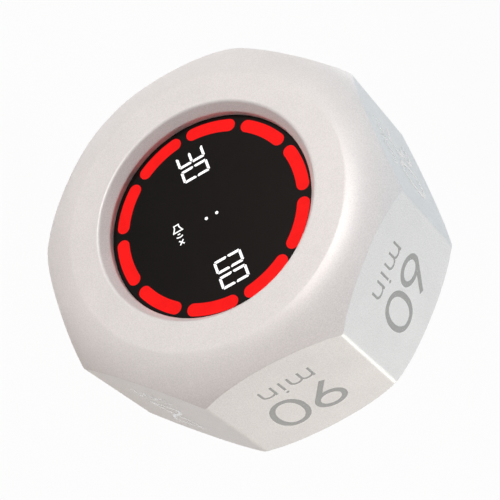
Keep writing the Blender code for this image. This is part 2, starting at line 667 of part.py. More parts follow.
def make_digit_reflector():
    """Light wells for eight pairs of digits, one pair for each flat, with colon and signs."""
    reflector = turned("digit_reflector", [
        (0, GUIDE_FRONT), (REFLECTOR_RADIUS, GUIDE_FRONT),
        (REFLECTOR_RADIUS, BAFFLE_BACK), (0, BAFFLE_BACK)], steps=INNER_STEPS)
    depth = BAFFLE_BACK - GUIDE_FRONT + OVERRUN
    middle = (GUIDE_FRONT + BAFFLE_BACK) / 2
    turns = [math.tau * k / SIDES for k in range(SIDES)]
    digit_places = [(*polar(PAIR_DISTANCE + side * DIGIT_PITCH / 2, t), t)
                    for t in turns for side in (-1, 1)]
    digits = hide_cutter(boxes("digit_wells", digit_places, (DIGIT_WIDTH, DIGIT_HEIGHT, depth)),
                         depth=middle)
    signs = hide_cutter(boxes("sign_wells", [(*polar(SIGN_DISTANCE, t), t) for t in turns],
                              (SIGN_HEIGHT, SIGN_LENGTH, depth)), depth=middle)
    colon = hide_cutter(drums("colon_well", [(0, 0)], COLON_WINDOW_RADIUS, -depth / 2, depth / 2),
                        depth=middle)
    for well in (digits, signs, colon):
        combine(reflector, well, "DIFFERENCE")
    finish_piece(reflector, WHITE_REFLECTOR)


def make_ring_leds(turns):
    """One LED behind each light bar."""
    source = boxes("ring_led", [(0, 0, 0)], (LED_WIDTH, LED_LENGTH, LED_HEIGHT))
    shared = source.data
    for index, turn in enumerate(turns):
        led = bpy.data.objects.new(f"ring_led_{index}", shared)
        finish_piece(led, LED_WHITE, polar(RING_MIDDLE_RADIUS, turn), BAFFLE_BACK - LED_HEIGHT / 2)
        led.rotation_euler.z = turn
    bpy.data.objects.remove(source, do_unlink=True)


def make_display_board():
    """The board behind the display, its driver chip and its ribbon socket."""
    board = drums("display_board", [(0, 0)], STACK_RADIUS, -DISPLAY_BOARD_THICKNESS / 2,
                  DISPLAY_BOARD_THICKNESS / 2, INNER_STEPS)
    finish_piece(board, GREEN_BOARD, depth=(DISPLAY_BOARD_FRONT + DISPLAY_BOARD_BACK) / 2)
    chip = boxes("led_driver", [(0, 0, 0)], (DRIVER_SIZE, DRIVER_SIZE, DRIVER_HEIGHT))
    finish_piece(chip, CHIP_BLACK, depth=DISPLAY_BOARD_BACK + GAP + DRIVER_HEIGHT / 2)
    ribbon_socket("display_socket", DISPLAY_SOCKET_REACH,
                  DISPLAY_BOARD_BACK + GAP + RIBBON_SOCKET_HEIGHT / 2)


def ribbon_socket(name, reach, depth):
    """A low socket that takes one end of the ribbon."""
    socket = boxes(name, [(0, 0, 0)], (RIBBON_SOCKET_LENGTH, RIBBON_SOCKET_WIDTH, RIBBON_SOCKET_HEIGHT))
    finish_piece(socket, CHIP_BLACK, (0, reach), depth)


def make_retainer():
    """The ring that clamps the display stack, with four screwed tabs."""
    retainer = turned("display_retainer", ring_profile(
        RETAINER_INNER_RADIUS, STACK_RADIUS, RETAINER_FRONT, RETAINER_BACK), closed=True,
        steps=INNER_STEPS)
    tab_root = (RETAINER_INNER_RADIUS + STACK_RADIUS) / 2
    tabs = plate("retainer_tabs", [
        tab_outline(angle, FRONT_POST_DISTANCE, tab_root, RETAINER_TAB_RADIUS)
        for angle in CORNER_TURNS], RETAINER_THICKNESS)
    hide_cutter(tabs, depth=(RETAINER_FRONT + RETAINER_BACK) / 2)
    combine(retainer, tabs, "UNION")
    spots = [polar(FRONT_POST_DISTANCE, angle) for angle in CORNER_TURNS]
    holes = hide_cutter(drums("retainer_holes", spots, PILOT_RADIUS, RETAINER_FRONT - OVERRUN,
                              RETAINER_BACK + OVERRUN))
    combine(retainer, holes, "DIFFERENCE")
    finish_piece(retainer, BLACK_FRAME)


def screw_mesh():
    """A small screw whose head faces the front, with a six-sided recess and a blunt tip."""
    end = SCREW_HEAD_HEIGHT + SCREW_LENGTH
    screw = turned("screw", [
        (0, 0),
        (SCREW_HEAD_RADIUS - SMALL_CHAMFER, 0),
        (SCREW_HEAD_RADIUS, SMALL_CHAMFER),
        (SCREW_HEAD_RADIUS, SCREW_HEAD_HEIGHT),
        (SCREW_SHANK_RADIUS, SCREW_HEAD_HEIGHT),
        (SCREW_SHANK_RADIUS, end),
        (0, end),
    ], steps=SCREW_STEPS)
    PARTS.objects.link(screw)
    recess = drums("screw_recess", [(0, 0)], SCREW_RECESS_RADIUS, -OVERRUN, SCREW_RECESS_DEPTH,
                   SCREW_RECESS_SIDES)
    CUTTERS.objects.link(recess)
    combine(screw, recess, "DIFFERENCE")
    mesh = settled_mesh(screw)
    bpy.data.objects.remove(recess, do_unlink=True)
    return mesh


def make_screws():
    """Retainer, board and cover screws, which share one mesh."""
    mesh = screw_mesh()
    for index, angle in enumerate(CORNER_TURNS):
        screw = bpy.data.objects.new(f"retainer_screw_{index}", mesh)
        head_back = RETAINER_HEAD_FRONT + SCREW_HEAD_HEIGHT
        finish_piece(screw, DARK_STEEL, polar(FRONT_POST_DISTANCE, angle), head_back)
        screw.rotation_euler.x = math.pi
    for index, spot in enumerate(BOARD_POST_SPOTS):
        screw = bpy.data.objects.new(f"board_screw_{index}", mesh)
        finish_piece(screw, DARK_STEEL, spot, BOARD_HEAD_BACK - SCREW_HEAD_HEIGHT)
    for index, angle in enumerate(DIAGONAL_TURNS):
        screw = bpy.data.objects.new(f"cover_screw_{index}", mesh)
        finish_piece(screw, DARK_STEEL, polar(REAR_POST_DISTANCE, angle), COVER_HEAD_BACK)
        screw.rotation_euler.x = math.pi


def make_rear_cover():
    """The round cover in the rear end, with posts, magnet cups, pockets and holes."""
    cover = turned("rear_cover", [
        (0, COVER_FRONT),
        (COVER_RADIUS, COVER_FRONT),
        (COVER_RADIUS, BODY_DEPTH - SMALL_CHAMFER),
        (COVER_RADIUS - SMALL_CHAMFER, BODY_DEPTH),
        (0, BODY_DEPTH),
    ])
    root = COVER_FRONT + EMBED
    cup_radius = MAGNET_RADIUS + GAP + MAGNET_CUP_WALL
    magnet_floor = COVER_FRONT + MAGNET_SINK
    cup_rim = magnet_floor - GAP - MAGNET_THICKNESS
    posts = drums("cover_posts", BOARD_POST_SPOTS, BOARD_POST_RADIUS, MAIN_BOARD_BACK + GAP, root)
    cups = drums("magnet_cups", MAGNET_SPOTS, cup_radius, cup_rim, root, MIDDLE_STEPS)
    for added in (posts, cups):
        combine(cover, hide_cutter(added), "UNION")

    screw_spots = [polar(REAR_POST_DISTANCE, angle) for angle in DIAGONAL_TURNS]
    foot_spots = [polar(FOOT_DISTANCE, angle) for angle in STRAIGHT_TURNS]
    sound_turns = [math.tau * k / SOUND_HOLE_COUNT for k in range(SOUND_HOLE_COUNT)]
    ring_spots = [polar(SOUND_HOLE_CIRCLE, t) for t in sound_turns]
    sound_spots = [(BUZZER_SPOT[0] + x, BUZZER_SPOT[1] + y) for x, y in [(0, 0)] + ring_spots]
    behind = BODY_DEPTH + OVERRUN
    before = COVER_FRONT - OVERRUN
    cuts = [
        drums("magnet_pockets", MAGNET_SPOTS, MAGNET_RADIUS + GAP, cup_rim - OVERRUN, magnet_floor,
              MIDDLE_STEPS),
        drums("board_pilots", BOARD_POST_SPOTS, PILOT_RADIUS, MAIN_BOARD_BACK,
              BOARD_HEAD_BACK + SCREW_LENGTH + GAP),
        drums("cover_holes", screw_spots, PILOT_RADIUS, before, behind),
        drums("counterbores", screw_spots, COUNTERBORE_RADIUS, COVER_HEAD_FRONT - GAP, behind),
        drums("foot_pockets", foot_spots, FOOT_RADIUS + GAP, BODY_DEPTH - FOOT_POCKET_DEPTH, behind),
        drums("sound_holes", sound_spots, SOUND_HOLE_RADIUS, before, behind, SOUND_HOLE_STEPS),
        drums("button_hole", [BUTTON_SPOT], BUTTON_RADIUS + GAP, before, behind),
    ]
    for cut in cuts:
        combine(cover, hide_cutter(cut), "DIFFERENCE")
    socket_hole = rounded_bar("socket_hole", USB_WIDTH + 2 * GAP, USB_HEIGHT + 2 * GAP,
                              COVER_THICKNESS + 2 * OVERRUN, USB_CORNER_RADIUS + GAP)
    knob_slot = rounded_bar("knob_slot", KNOB_LENGTH + SLIDE_TRAVEL + 2 * GAP, KNOB_WIDTH + 2 * GAP,
                            COVER_THICKNESS + 2 * OVERRUN, SMALL_CHAMFER + GAP)
    for cut, spot in ((socket_hole, USB_SPOT), (knob_slot, SLIDE_SPOT)):
        combine(cover, hide_cutter(cut, spot, COVER_FRONT + COVER_THICKNESS / 2), "DIFFERENCE")
    finish_piece(cover, COVER_WHITE)

    for index, spot in enumerate(MAGNET_SPOTS):
        magnet = drums(f"magnet_{index}", [(0, 0)], MAGNET_RADIUS, -MAGNET_THICKNESS / 2,
                       MAGNET_THICKNESS / 2, MIDDLE_STEPS)
        finish_piece(magnet, BRIGHT_STEEL, spot, magnet_floor - GAP - MAGNET_THICKNESS / 2)
    make_feet(foot_spots)


def make_feet(spots):
    """Four rubber feet that stand a little proud of the cover."""
    floor = BODY_DEPTH - FOOT_POCKET_DEPTH + GAP
    for index, spot in enumerate(spots):
        foot = turned(f"foot_{index}", [
            (0, floor),
            (FOOT_RADIUS, floor),
            (FOOT_RADIUS, DEPTH_OVER_FEET - SMALL_CHAMFER),
            (FOOT_RADIUS - SMALL_CHAMFER, DEPTH_OVER_FEET),
            (0, DEPTH_OVER_FEET),
        ], steps=FINE_STEPS)
        finish_piece(foot, RUBBER_GREY, spot)


def make_main_board():
    """The main board with its chips, buzzer and ribbon socket."""
    board = drums("main_board", [(0, 0)], MAIN_BOARD_RADIUS, MAIN_BOARD_FRONT, MAIN_BOARD_BACK,
                  INNER_STEPS)
    holes = hide_cutter(drums("main_board_holes", BOARD_POST_SPOTS, PILOT_RADIUS,
                              MAIN_BOARD_FRONT - OVERRUN, MAIN_BOARD_BACK + OVERRUN))
    combine(board, holes, "DIFFERENCE")
    finish_piece(board, GREEN_BOARD)
    chip_depth = MAIN_BOARD_BACK + GAP + CHIP_HEIGHT / 2
    for name, size, shares in (("controller_chip", CONTROLLER_SIZE, CONTROLLER_SHARE),
                               ("tilt_sensor", TILT_SENSOR_SIZE, TILT_SENSOR_SHARE),
                               ("charge_chip", CHARGE_CHIP_SIZE, CHARGE_CHIP_SHARE)):
        chip = boxes(name, [(0, 0, 0)], (size, size, CHIP_HEIGHT))
        finish_piece(chip, CHIP_BLACK, on_board(shares), chip_depth)
    front = MAIN_BOARD_BACK + GAP
    back = front + BUZZER_HEIGHT
    buzzer = turned("buzzer", [
        (0, front), (BUZZER_RADIUS, front),
        (BUZZER_RADIUS, back - SMALL_CHAMFER), (BUZZER_RADIUS - SMALL_CHAMFER, back),
        (BUZZER_PORT_RADIUS, back), (BUZZER_PORT_RADIUS, back - BUZZER_PORT_DEPTH),
        (0, back - BUZZER_PORT_DEPTH)], steps=MIDDLE_STEPS)
    finish_piece(buzzer, CHIP_BLACK, BUZZER_SPOT)
    ribbon_socket("board_socket", BOARD_SOCKET_REACH,
                  MAIN_BOARD_FRONT - GAP - RIBBON_SOCKET_HEIGHT / 2)


def make_charging_socket():
    """The socket's steel shell and the insert that carries its tongue."""
    front = MAIN_BOARD_BACK + GAP
    length = BODY_DEPTH - USB_RECESS - front
    shell = rounded_bar("usb_shell", USB_WIDTH, USB_HEIGHT, length, USB_CORNER_RADIUS)
    bore = rounded_bar("usb_bore", USB_WIDTH - 2 * USB_WALL, USB_HEIGHT - 2 * USB_WALL,
                       length + 2 * OVERRUN, USB_CORNER_RADIUS - USB_WALL)
    combine(shell, hide_cutter(bore, USB_SPOT, front + length / 2), "DIFFERENCE")
    finish_piece(shell, BRIGHT_STEEL, USB_SPOT, front + length / 2)

    margin = 2 * (USB_WALL + GAP)
    insert = rounded_bar("usb_insert", USB_WIDTH - margin, USB_HEIGHT - margin, USB_BLOCK_HEIGHT,
                         USB_CORNER_RADIUS - USB_WALL - GAP)
    tongue_length = length - USB_TONGUE_SETBACK - USB_BLOCK_HEIGHT / 2
    tongue = boxes("usb_tongue", [(0, 0, 0)], (USB_TONGUE_WIDTH, USB_TONGUE_THICKNESS, tongue_length))
    hide_cutter(tongue, USB_SPOT, front + USB_BLOCK_HEIGHT / 2 + tongue_length / 2)
    combine(insert, tongue, "UNION")
    finish_piece(insert, CHIP_BLACK, USB_SPOT, front + USB_BLOCK_HEIGHT / 2)


def make_sound_button():
    """The cap in the cover, the tact switch on the board and the plunger between them."""
    flange_back = COVER_FRONT - GAP
    flange_front = flange_back - BUTTON_FLANGE_THICKNESS
    outer_face = BODY_DEPTH - BUTTON_RECESS
    flange_radius = BUTTON_RADIUS + BUTTON_FLANGE_WIDTH

    def from_flange(depth):
        return depth - flange_front

    cap = turned("sound_button", [
        (0, 0),
        (flange_radius, 0),
        (flange_radius, BUTTON_FLANGE_THICKNESS),
        (BUTTON_RADIUS, BUTTON_FLANGE_THICKNESS),
        (BUTTON_RADIUS, from_flange(outer_face) - SMALL_CHAMFER),
        (BUTTON_RADIUS - SMALL_CHAMFER, from_flange(outer_face)),
        (BUTTON_DISH_RADIUS, from_flange(outer_face)),
        (0, from_flange(outer_face) - BUTTON_DISH_DEPTH),
    ], steps=MIDDLE_STEPS)
    finish_piece(cap, COVER_WHITE, BUTTON_SPOT, flange_front)

    switch_front = MAIN_BOARD_BACK + GAP
    switch_back = switch_front + TACT_HEIGHT
    switch = boxes("tact_switch", [(0, 0, 0)], (TACT_SIZE, TACT_SIZE, TACT_HEIGHT))
    well = hide_cutter(drums("tact_well", [BUTTON_SPOT], PLUNGER_RADIUS + GAP,
                             switch_front + TACT_FLOOR, switch_back + OVERRUN))
    combine(switch, well, "DIFFERENCE")
    finish_piece(switch, CHIP_BLACK, BUTTON_SPOT, (switch_front + switch_back) / 2)
    plunger_front = switch_front + TACT_FLOOR + GAP + BUTTON_TRAVEL
    plunger_back = flange_front - GAP
    half = (plunger_back - plunger_front) / 2
    plunger = drums("tact_plunger", [(0, 0)], PLUNGER_RADIUS, -half, half)
    finish_piece(plunger, LED_WHITE, BUTTON_SPOT, plunger_front + half)


def make_power_slider():
    """The knob in its slot, the slide switch on the board and the lever that the knob carries."""
    rest = (SLIDE_SPOT[0] - SLIDE_TRAVEL / 2, SLIDE_SPOT[1])
    flange_back = COVER_FRONT - GAP
    flange_front = flange_back - KNOB_FLANGE_THICKNESS
    flange_length = KNOB_LENGTH + 2 * (SLIDE_TRAVEL + KNOB_FLANGE_MARGIN)
    flange_width = KNOB_WIDTH + 2 * KNOB_FLANGE_MARGIN
    outer_face = BODY_DEPTH - KNOB_RECESS
    knob = boxes("power_slider", [(0, 0, 0)], (flange_length, flange_width, KNOB_FLANGE_THICKNESS))
    grip_height = outer_face - flange_back + KNOB_FLANGE_THICKNESS / 2
    grip = rounded_bar("knob_grip", KNOB_LENGTH, KNOB_WIDTH, grip_height, SMALL_CHAMFER,
                       KNOB_CORNER_STEPS)
    combine(knob, hide_cutter(grip, rest, outer_face - grip_height / 2), "UNION")
    groove_spots = [(rest[0] + KNOB_GROOVE_PITCH * (k - (KNOB_GROOVE_COUNT - 1) / 2), rest[1], 0)
                    for k in range(KNOB_GROOVE_COUNT)]
    grooves = boxes("knob_grooves", groove_spots,
                    (KNOB_GROOVE_WIDTH, KNOB_WIDTH + OVERRUN, 2 * KNOB_GROOVE_DEPTH))
    combine(knob, hide_cutter(grooves, depth=outer_face), "DIFFERENCE")
    pocket_back = flange_back - KNOB_POCKET_ROOF
    pocket_depth = pocket_back - flange_front + OVERRUN
    pocket = boxes("lever_pocket", [(0, 0, 0)], (LEVER_SIZE + 2 * GAP, LEVER_SIZE + 2 * GAP,
                                                 pocket_depth))
    combine(knob, hide_cutter(pocket, rest, pocket_back - pocket_depth / 2), "DIFFERENCE")
    finish_piece(knob, COVER_WHITE, rest, (flange_front + flange_back) / 2)

    switch_front = MAIN_BOARD_BACK + GAP
    switch_back = switch_front + SLIDE_SWITCH_HEIGHT
    switch = boxes("slide_switch", [(0, 0, 0)],
                   (SLIDE_SWITCH_LENGTH, SLIDE_SWITCH_WIDTH, SLIDE_SWITCH_HEIGHT))
    slot_depth = SLIDE_SWITCH_HEIGHT - SLIDE_SWITCH_FLOOR + OVERRUN
    slot = boxes("lever_slot", [(0, 0, 0)],
                 (LEVER_SIZE + SLIDE_TRAVEL + 2 * GAP, LEVER_SIZE + 2 * GAP, slot_depth))
    hide_cutter(slot, SLIDE_SPOT, switch_front + SLIDE_SWITCH_FLOOR + slot_depth / 2)
    combine(switch, slot, "DIFFERENCE")
    finish_piece(switch, BRIGHT_STEEL, SLIDE_SPOT, (switch_front + switch_back) / 2)
    lever_front = switch_front + SLIDE_SWITCH_FLOOR + GAP
    lever_back = pocket_back - GAP
    lever = boxes("slide_lever", [(0, 0, 0)], (LEVER_SIZE, LEVER_SIZE, lever_back - lever_front))
    finish_piece(lever, BLACK_FRAME, rest, (lever_front + lever_back) / 2)


def make_cell():
    """The cell on its foam pad, its socket and its two leads."""
    cell = rounded_bar("battery_cell", CELL_LENGTH, CELL_WIDTH, CELL_THICKNESS, CELL_EDGE_RADIUS)
    finish_piece(cell, CELL_SILVER, depth=(CELL_FRONT + CELL_BACK) / 2)
    foam = boxes("foam_pad", [(0, 0, 0)],
                 (CELL_LENGTH - 2 * FOAM_INSET, CELL_WIDTH - 2 * FOAM_INSET, FOAM_THICKNESS))
    finish_piece(foam, FOAM_GREY, depth=FOAM_BACK - FOAM_THICKNESS / 2)

    socket_back = MAIN_BOARD_FRONT - GAP
    socket_front = socket_back - LEAD_SOCKET_HEIGHT
    cell_edge = -CELL_WIDTH / 2 - GAP
    bend_start = cell_edge - LEAD_STRAIGHT
    socket_height = bend_start - LEAD_BEND_RADIUS
    socket = boxes("lead_socket", [(0, 0, 0)],
                   (LEAD_SOCKET_LENGTH, LEAD_SOCKET_WIDTH, LEAD_SOCKET_HEIGHT))
    finish_piece(socket, WHITE_REFLECTOR, (0, socket_height), (socket_front + socket_back) / 2)
    lead_end = socket_front - GAP
    lead_depth = lead_end - LEAD_BEND_RADIUS
    bend = arc_points((bend_start, lead_end), LEAD_BEND_RADIUS, -math.pi / 2, -math.pi, LEAD_BEND_STEPS)
    route = [(cell_edge, lead_depth)] + bend
    for name, side, material in (("red_lead", -1, RED_LEAD), ("black_lead", 1, BLACK_LEAD)):
        x = side * LEAD_SPACING / 2
        lead = tube(name, [(x, y, -depth) for y, depth in route], LEAD_DIAMETER / 2)
        finish_piece(lead, material)


def tube(name, points, radius):
    """A round lead along points, with capped ends."""
    curve = bpy.data.curves.new(name, "CURVE")
    curve.dimensions = "3D"
    curve.bevel_depth = radius
    curve.bevel_resolution = 2
    curve.use_fill_caps = True
    spline = curve.splines.new("POLY")
    spline.points.add(len(points) - 1)
    for point, place_on_route in zip(spline.points, points):
        point.co = (*place_on_route, 1)
    return mesh_from_curve(name, curve, radius / ROUND_STEPS)


def make_ribbon():
    """The flat cable between the two boards, bowed a little outwards."""
    front = DISPLAY_BOARD_BACK + GAP + RIBBON_SOCKET_HEIGHT + GAP
    back = MAIN_BOARD_FRONT - GAP - RIBBON_SOCKET_HEIGHT - GAP
    shape = bmesh.new()
    bmesh.ops.create_grid(shape, x_segments=1, y_segments=RIBBON_STEPS, size=1 / 2)
    for vertex in shape.verts:
        share = vertex.co.y + 1 / 2
        shift = (BOARD_SOCKET_REACH - DISPLAY_SOCKET_REACH) * share ** 2 * (3 - 2 * share)
        bow = RIBBON_BOW * math.sin(math.pi * share) ** 2
        vertex.co = (vertex.co.x * RIBBON_WIDTH, DISPLAY_SOCKET_REACH + shift + bow,
                     -front - (back - front) * share)
    ribbon = mesh_object("ribbon", shape)
    skin = ribbon.modifiers.new("thickness", "SOLIDIFY")
    skin.thickness = RIBBON_THICKNESS
    skin.offset = 0
    finish_piece(ribbon, RIBBON_AMBER)


make_housing()
make_window_stack()
make_display_board()
make_retainer()
make_screws()
make_rear_cover()
make_main_board()
make_charging_socket()
make_sound_button()
make_power_slider()
make_cell()
make_ribbon()
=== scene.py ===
"""Dresses the octagonal flip timer: shell, display, printed flats, rear end and studio.

Laid out as an add-on and run as a script. Lengths are metres, +Z is up and the display looks
along -Y. A depth is counted from the front end's flat face into the body, a turn is measured
round the display's axis from +X towards +Z, and a spot is (x, height).
"""
import json
import math

import bmesh
import bpy
from mathutils import Matrix, Vector
from mathutils.geometry import delaunay_2d_cdt

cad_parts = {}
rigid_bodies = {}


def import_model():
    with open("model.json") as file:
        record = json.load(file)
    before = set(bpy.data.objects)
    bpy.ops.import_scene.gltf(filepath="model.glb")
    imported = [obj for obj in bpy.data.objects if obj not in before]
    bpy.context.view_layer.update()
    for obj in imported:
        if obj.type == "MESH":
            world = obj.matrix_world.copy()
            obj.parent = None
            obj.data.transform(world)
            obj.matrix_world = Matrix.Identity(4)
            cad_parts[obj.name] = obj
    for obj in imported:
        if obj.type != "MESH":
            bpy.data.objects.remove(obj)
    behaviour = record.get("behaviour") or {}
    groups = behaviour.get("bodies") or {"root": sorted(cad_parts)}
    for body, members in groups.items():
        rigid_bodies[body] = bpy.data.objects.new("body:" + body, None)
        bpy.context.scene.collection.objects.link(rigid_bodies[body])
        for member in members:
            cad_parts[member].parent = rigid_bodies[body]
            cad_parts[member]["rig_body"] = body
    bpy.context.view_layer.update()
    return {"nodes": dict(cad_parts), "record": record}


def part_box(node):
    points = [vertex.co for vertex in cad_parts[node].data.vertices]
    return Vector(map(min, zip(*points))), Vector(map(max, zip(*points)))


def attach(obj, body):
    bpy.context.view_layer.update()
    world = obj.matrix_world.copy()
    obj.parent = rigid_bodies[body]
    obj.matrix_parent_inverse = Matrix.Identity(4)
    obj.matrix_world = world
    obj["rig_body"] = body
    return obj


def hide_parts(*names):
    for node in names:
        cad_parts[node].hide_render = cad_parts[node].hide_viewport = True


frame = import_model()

bl_info = {
    "name": "Octagonal Flip Timer",
    "version": (1, 0, 0),
    "blender": (4, 5, 0),
    "location": "View3D > Sidebar > Timer",
    "description": "Builds the looks of an octagonal flip timer round its packed frame",
    "category": "Object",
}

MM = 0.001
UNIT = 20.44 * MM          # what the drawn signs are measured in, about the light ring's radius
SIDES = 8
POSTS = 4                  # screws, their posts and the feet stand in fours
HOUSING_LOW, HOUSING_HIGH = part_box("housing")
FRONT = HOUSING_LOW.y
AXIS_HEIGHT = (HOUSING_LOW.z + HOUSING_HIGH.z) / 2


def seat_of(node):
    """A CAD node's spot, the depths that it lies between, and half its width."""
    low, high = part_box(node)
    return (((low.x + high.x) / 2, (low.z + high.z) / 2), low.y - FRONT, high.y - FRONT,
            (high.x - low.x) / 2)


_, LENS_FRONT, LENS_BACK, LENS_RADIUS = seat_of("display_lens")


def length(label, description, default):
    """A length that a user may change."""
    return bpy.props.FloatProperty(name=label, description=description, default=default,
                                   min=0, precision=5, unit="LENGTH")


def amount(label, description, default):
    """A plain number that a user may change."""
    return bpy.props.FloatProperty(name=label, description=description, default=default,
                                   min=0, max=1000, precision=4)


def tint(label, description, default):
    """A colour that a user may change."""
    return bpy.props.FloatVectorProperty(name=label, description=description, default=default,
                                         size=3, min=0, max=1, subtype="COLOR")


class ShellSizes(bpy.types.PropertyGroup):
    """Sizes of the eight-sided shell."""

    across_flats: length("Across Flats", "Distance between two opposite flats",
                         HOUSING_HIGH.x - HOUSING_LOW.x)
    body_depth: length("Body Depth", "From the front face to the rear face",
                       HOUSING_HIGH.y - HOUSING_LOW.y)
    long_edge_radius: length("Long Edge Radius", "Rounding between two flats", 1.3 * MM)
    end_flat_radius: length("End Flat Radius", "Where the end's flat face stops", 28.9 * MM)
    end_arc_radius: length("End Arc Radius", "Radius of the turned curve at each end", 13.16 * MM)
    end_arc_inset: length("End Arc Inset", "How far in that curve's centre lies", 2.2 * MM)
    crease_radius: length("Crease Radius", "Rounding where that curve meets a flat", 0.09 * MM)
    side_wall: length("Side Wall", "Wall behind the flats", 2.4 * MM)
    lip_radius: length("Lip Radius", "Mouth of the display's recess", 22.70 * MM)
    lip_softening: length("Lip Softening", "Rounding of that mouth", 0.4 * MM)
    floor_radius: length("Floor Radius", "Bottom of the display's recess", 21.25 * MM)
    slope_depth: length("Slope Depth", "How far in the recess's slope reaches", 2.1 * MM)
    front_wall: length("Front Wall", "Thickness round the recess", LENS_FRONT - 0.3 * MM)
    seat_radius: length("Seat Radius", "Bore that the rear cover sits in", 28.5 * MM)
    ledge_radius: length("Ledge Radius", "Bore of the ledge that the cover rests on", 27.5 * MM)
    print_thickness: length("Print Thickness", "Height of the ink on the flats", 0.02 * MM)


class DisplaySizes(bpy.types.PropertyGroup):
    """Sizes of what shows in the display."""

    bar_outer: length("Bar Outer Radius", "Outer radius of the light bars", 20.40 * MM)
    bar_inner: length("Bar Inner Radius", "Inner radius of the light bars", 17.80 * MM)
    bar_spacing: length("Bar Spacing", "Space between two light bars", 1.42 * MM)
    bar_count: bpy.props.IntProperty(name="Bar Count", description="Light bars in the ring",
                                     default=10, min=3, max=60)
    digit_width: length("Digit Width", "Width of one digit", 0.1405 * UNIT)
    digit_height: length("Digit Height", "Height of one digit", 0.2915 * UNIT)
    segment_width: length("Segment Width", "Thickness of a digit's segment", 0.0268 * UNIT)
    segment_gap: length("Segment Gap", "Dark gap between two segments", 0.0062 * UNIT)
    light_thickness: length("Light Thickness", "Thickness of a lit sign", 0.02 * MM)


class PrintSizes(bpy.types.PropertyGroup):
    """Sizes of the printed numerals."""

    numeral_height: length("Numeral Height", "Height of a numeral", 0.546 * UNIT)
    numeral_stroke: length("Numeral Stroke", "Stroke of a numeral", 0.0575 * UNIT)
    word_height: length("Word Height", "Height of a small letter", 0.172 * UNIT)
    word_stroke: length("Word Stroke", "Stroke of a small letter", 0.0235 * UNIT)
    numeral_base: length("Numeral Base", "Foot of a numeral in front of the body's middle",
                         0.125 * UNIT)
    word_base: length("Word Base", "Foot of the word in front of the body's middle", 0.440 * UNIT)


class RearSizes(bpy.types.PropertyGroup):
    """Sizes of the rear cover and its openings."""

    cover_thickness: length("Cover Thickness", "Thickness of the cover's plate", 2.4 * MM)
    edge_softening: length("Edge Softening", "Rounding of the cover's edges", 0.12 * MM)
    button_hole: length("Button Hole", "Radius of the sound button's hole", 3.5 * MM)
    sound_hole: length("Sound Hole", "Radius of a sound hole", 0.6 * MM)
    sound_circle: length("Sound Circle", "Radius of the circle of sound holes", 2.1 * MM)
    slider_travel: length("Slider Travel", "How far the power slider moves", 2.0 * MM)
    foot_pocket: length("Foot Pocket", "Radius of the pocket round a foot", 2.9 * MM)
    foot_sink: length("Foot Sink", "Depth of that pocket", 0.6 * MM)
    head_hole: length("Head Hole", "Radius of the hole round a screw's head", 1.8 * MM)
    head_sink: length("Head Sink", "Depth of that hole", 1.6 * MM)
    shank_hole: length("Shank Hole", "Radius of the hole round a screw's shank", 1.1 * MM)


class Finishes(bpy.types.PropertyGroup):
    """Colours of the finishes."""

    shell: tint("Shell", "Off-white moulded plastic", (0.735, 0.722, 0.709))
    cover: tint("Cover", "Off-white moulded plastic of the rear end", (0.70, 0.678, 0.662))
    ink: tint("Ink", "Grey of the printed numerals", (0.262, 0.264, 0.252))
    glass: tint("Glass", "Black of the display", (0.0064, 0.0052, 0.0047))
    red: tint("Red Light", "Red of the light bars", (0.960, 0.0125, 0.0120))
    white: tint("White Light", "White of the digits", (1.0, 1.0, 1.0))
    rubber: tint("Rubber", "Grey of the feet", (0.21, 0.205, 0.20))


class StageSettings(bpy.types.PropertyGroup):
    """Light and camera."""

    front: amount("Front Light", "Watts of the light before the display", 3.1)
    left: amount("Left Light", "Watts of the higher light on the left", 0.28)
    right: amount("Right Light", "Watts of the warm light on the right", 2.38)
    top: amount("Top Light", "Watts of the light above and behind", 2.55)
    back: amount("Back Light", "Watts of the light behind on the left", 1.15)
    edge: amount("Edge Light", "Watts of the small light that catches the long edge", 2.95)
    low: amount("Low Light", "Watts of the small light near the floor", 1.95)
    fill: amount("Fill Light", "Strength of the light from all round", 0.055)
    lens: amount("Camera Lens", "Focal length in millimetres", 131.32)


# Node trees ---------------------------------------------------------------------------------

class Value:
    """A socket that takes part in sums as a number does."""

    def __init__(self, tree, socket):
        self.tree = tree
        self.socket = socket

    def output(self, label):
        """Another output of the same node."""
        return Value(self.tree, self.socket.node.outputs[label])

    def __add__(self, other): return self.tree.sum("ADD", self, other)
    def __radd__(self, other): return self.tree.sum("ADD", other, self)
    def __sub__(self, other): return self.tree.sum("SUBTRACT", self, other)
    def __rsub__(self, other): return self.tree.sum("SUBTRACT", other, self)
    def __mul__(self, other): return self.tree.sum("MULTIPLY", self, other)
    def __rmul__(self, other): return self.tree.sum("MULTIPLY", other, self)
    def __truediv__(self, other): return self.tree.sum("DIVIDE", self, other)
    def __gt__(self, other): return self.tree.sum("GREATER_THAN", self, other)
    def __abs__(self): return self.tree.sum("ABSOLUTE", self)
    def sin(self): return self.tree.sum("SINE", self)
    def cos(self): return self.tree.sum("COSINE", self)
    def root(self): return self.tree.sum("SQRT", self)
    def is_near(self, other): return self.tree.sum("COMPARE", self, other, 0.25)


